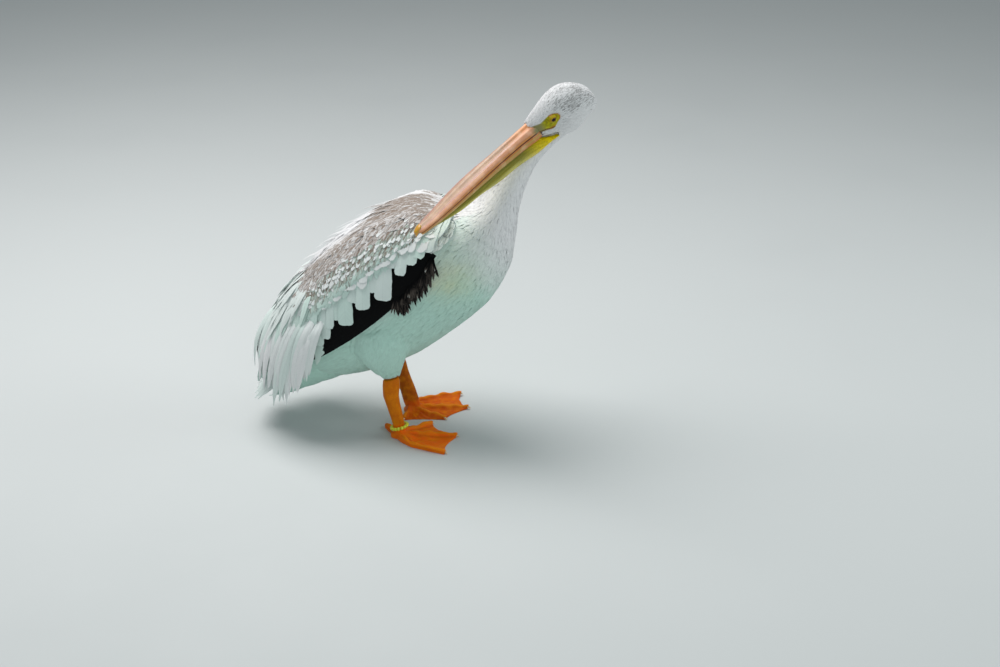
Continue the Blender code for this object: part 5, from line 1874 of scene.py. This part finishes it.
class PELICAN_OT_tail(bpy.types.Operator):
    """Fans out the short white tail, and the soft feathers under it"""

    bl_idname = "pelican.tail"
    bl_label = "Tail"

    def execute(self, context):
        under = unit(np.cross(np.array([-0.74, 0.0, -0.64]), TO_LEFT))
        share = np.linspace(0, 1, 12)[None, :, None]
        u = np.linspace(-1, 1, 7)
        for rank, (count, wide, down, longest) in enumerate(TAIL_ROWS):
            v = np.linspace(-1, 1, count) + LUCK.normal(0, 0.02, count)
            root = stacked(0 * v - 0.205, 0.032 * v, 0 * v + 0.200)
            tip = stacked(0 * v - 0.325, 0.074 * v, 0.064 + 0.012 * v * v)
            way = (tip - root) * (longest * (1 - 0.05 * v * v) * LUCK.uniform(0.92, 1.03, count))[:, None]
            arch = (0.020 * v * v + 0.0016 * np.abs(v) + down)[:, None, None] * mix(0.6, 1.0, share)
            line = root[:, None] + way[:, None] * share + under * (arch + 0.003) + PLACED
            reach = ragged_tips(count, u, 0.10, 1.6, 0.05)
            # Painted shade: the tail feathers get a light green-grey tint.
            shade = tones(count, 0.3, (0.7, 1.0))
            piece = broad_feathers(f"tail_feathers_{rank}", line, rolled(-under, 62.0 * v, line.shape),
                                   np.full(count, wide), u, pointed, reach, shaft_marks(0.3), shade)
            if rank == 0:
                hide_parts("tail")
        self.undertail()
        return {"FINISHED"}

    def undertail(self):
        """Long soft feathers from the vent back under the tail, which carry the belly's line on."""
        abreast = 19
        v = np.concatenate([np.linspace(-1, 1, abreast) + 0.02 * k for k in range(len(UNDERTAIL_TIERS))])
        tier = np.repeat(np.arange(len(UNDERTAIL_TIERS)), abreast)
        count = len(v)
        tip_x, half, longest = np.array(UNDERTAIL_TIERS)[tier].T
        tip_x = tip_x + LUCK.uniform(-0.010, 0.010, count)
        fall = 0.113 + 0.326 * (tip_x + 0.092) + 0.004 * tier
        tip = stacked(tip_x, v * half, fall + 0.075 * np.abs(v) ** 2.4)
        root = tip + np.array([0.105, 0.0, 0.045]) * longest[:, None]
        share = np.linspace(0, 1, 10)[None, :, None]
        sag = np.array([0.0, 0.0, -1.0]) * 0.010 * bump(share)
        line = root[:, None] * (1 - share) + tip[:, None] * share + sag + PLACED
        facing = rolled(unit(np.array([0.33, 0.0, -0.94])), 80.0 * v, line.shape)
        u = np.linspace(-1, 1, 7)
        reach = ragged_tips(count, u, 0.14, 2, 0.04)
        # Painted shade: the undertail coverts get almost the full green-grey tint of the shaded underparts.
        shade = tones(count, 0.95, (0.75, 1.0))
        wide = LUCK.uniform(0.022, 0.028, count)
        broad_feathers("undertail_coverts", line, facing, wide, u, pointed, reach, shaft_marks(0.0), shade,
                       camber=0.16)


# ---- stage

CAMERA_PLACE = (0.723942, -4.1056791, 1.944044)  # before centring
SKY, SKY_STRENGTH = (0.80, 0.90, 0.93, 1.0), 0.32
LIGHTS = (  # name, place, where it points, width, watts, colour
    ("softbox_over", (-0.9, 0.5, 3.0), (0.0, 0.0, 0.35), 2.2, 98.0, (1.0, 0.99, 0.98)),
    ("softbox_front", (1.2, -3.6, 1.9), (0.0, 0.0, 0.38), 2.4, 28.0, (0.90, 1.0, 0.99)),
    ("softbox_side", (2.8, 0.4, 1.6), (0.1, 0.0, 0.42), 1.8, 20.0, (0.95, 1.0, 1.0)),
)


class PELICAN_OT_stage(bpy.types.Operator):
    """Lays the floor, hangs soft lights and places the camera"""

    bl_idname = "pelican.stage"
    bl_label = "Stage"

    def execute(self, context):
        settings = context.scene.pelican_stage
        floor = primitive("grid", "studio_floor", x_subdivisions=8, y_subdivisions=8,
                          size=settings.floor_size)
        floor.data.materials.append(streaked_material("matt_floor", settings.floor, settings.floor, 3.0, 0.9))
        for light in LIGHTS:
            self.light(*light)
        world = bpy.data.worlds.new("studio_air")
        world.use_nodes = True
        air = world.node_tree.nodes["Background"].inputs
        air[0].default_value, air[1].default_value = SKY, SKY_STRENGTH
        context.scene.world = world
        context.scene.view_settings.view_transform = "Standard"
        lens = bpy.data.cameras.new("camera")
        lens.lens, lens.sensor_width = settings.lens, 36.0
        camera = linked("camera", lens)
        camera.location = Vector(CAMERA_PLACE) + Vector(PLACED)
        camera.rotation_euler = (math.pi / 2 - settings.pitch, 0.0, settings.heading)
        context.scene.camera = camera
        return {"FINISHED"}

    def light(self, name, place, target, size, watts, tint):
        lamp = bpy.data.lights.new(name, "AREA")
        lamp.size, lamp.energy, lamp.color = size, watts, tint
        obj = linked(name, lamp)
        obj.location = place
        obj.rotation_euler = (Vector(target) - Vector(place)).to_track_quat("-Z", "Y").to_euler()


# ---- panel and run

STEPS = (
    PELICAN_OT_skin,
    PELICAN_OT_bill,
    PELICAN_OT_eyes,
    PELICAN_OT_legs,
    PELICAN_OT_band,
    PELICAN_OT_body_coat,
    PELICAN_OT_wing_coat,
    PELICAN_OT_flight_feathers,
    PELICAN_OT_tertials,
    PELICAN_OT_tail,
    PELICAN_OT_stage,
)
SETTINGS = {
    "pelican_plumage": PelicanPlumage,
    "pelican_skin": PelicanSkin,
    "pelican_legs": PelicanLegs,
    "pelican_stage": PelicanStage,
}


class PELICAN_PT_panel(bpy.types.Panel):
    """Lists the pelican's pieces and their settings"""

    bl_idname = "PELICAN_PT_panel"
    bl_label = "Pelican"
    bl_space_type = "VIEW_3D"
    bl_region_type = "UI"
    bl_category = "Pelican"

    def draw(self, context):
        for step in STEPS:
            self.layout.operator(step.bl_idname)
        for name, group in SETTINGS.items():
            box = self.layout.box()
            box.label(text=group.__doc__)
            for prop in group.__annotations__:
                box.prop(getattr(context.scene, name), prop)


CLASSES = (*SETTINGS.values(), *STEPS, PELICAN_PT_panel)


def register():
    for made in CLASSES:
        bpy.utils.register_class(made)
    for name, group in SETTINGS.items():
        setattr(bpy.types.Scene, name, bpy.props.PointerProperty(type=group))


def unregister():
    for name in SETTINGS:
        delattr(bpy.types.Scene, name)
    for made in reversed(CLASSES):
        bpy.utils.unregister_class(made)


def main():
    register()
    for step in STEPS:
        getattr(bpy.ops.pelican, step.bl_idname.split(".")[1])()


if __name__ == "__main__":
    main()
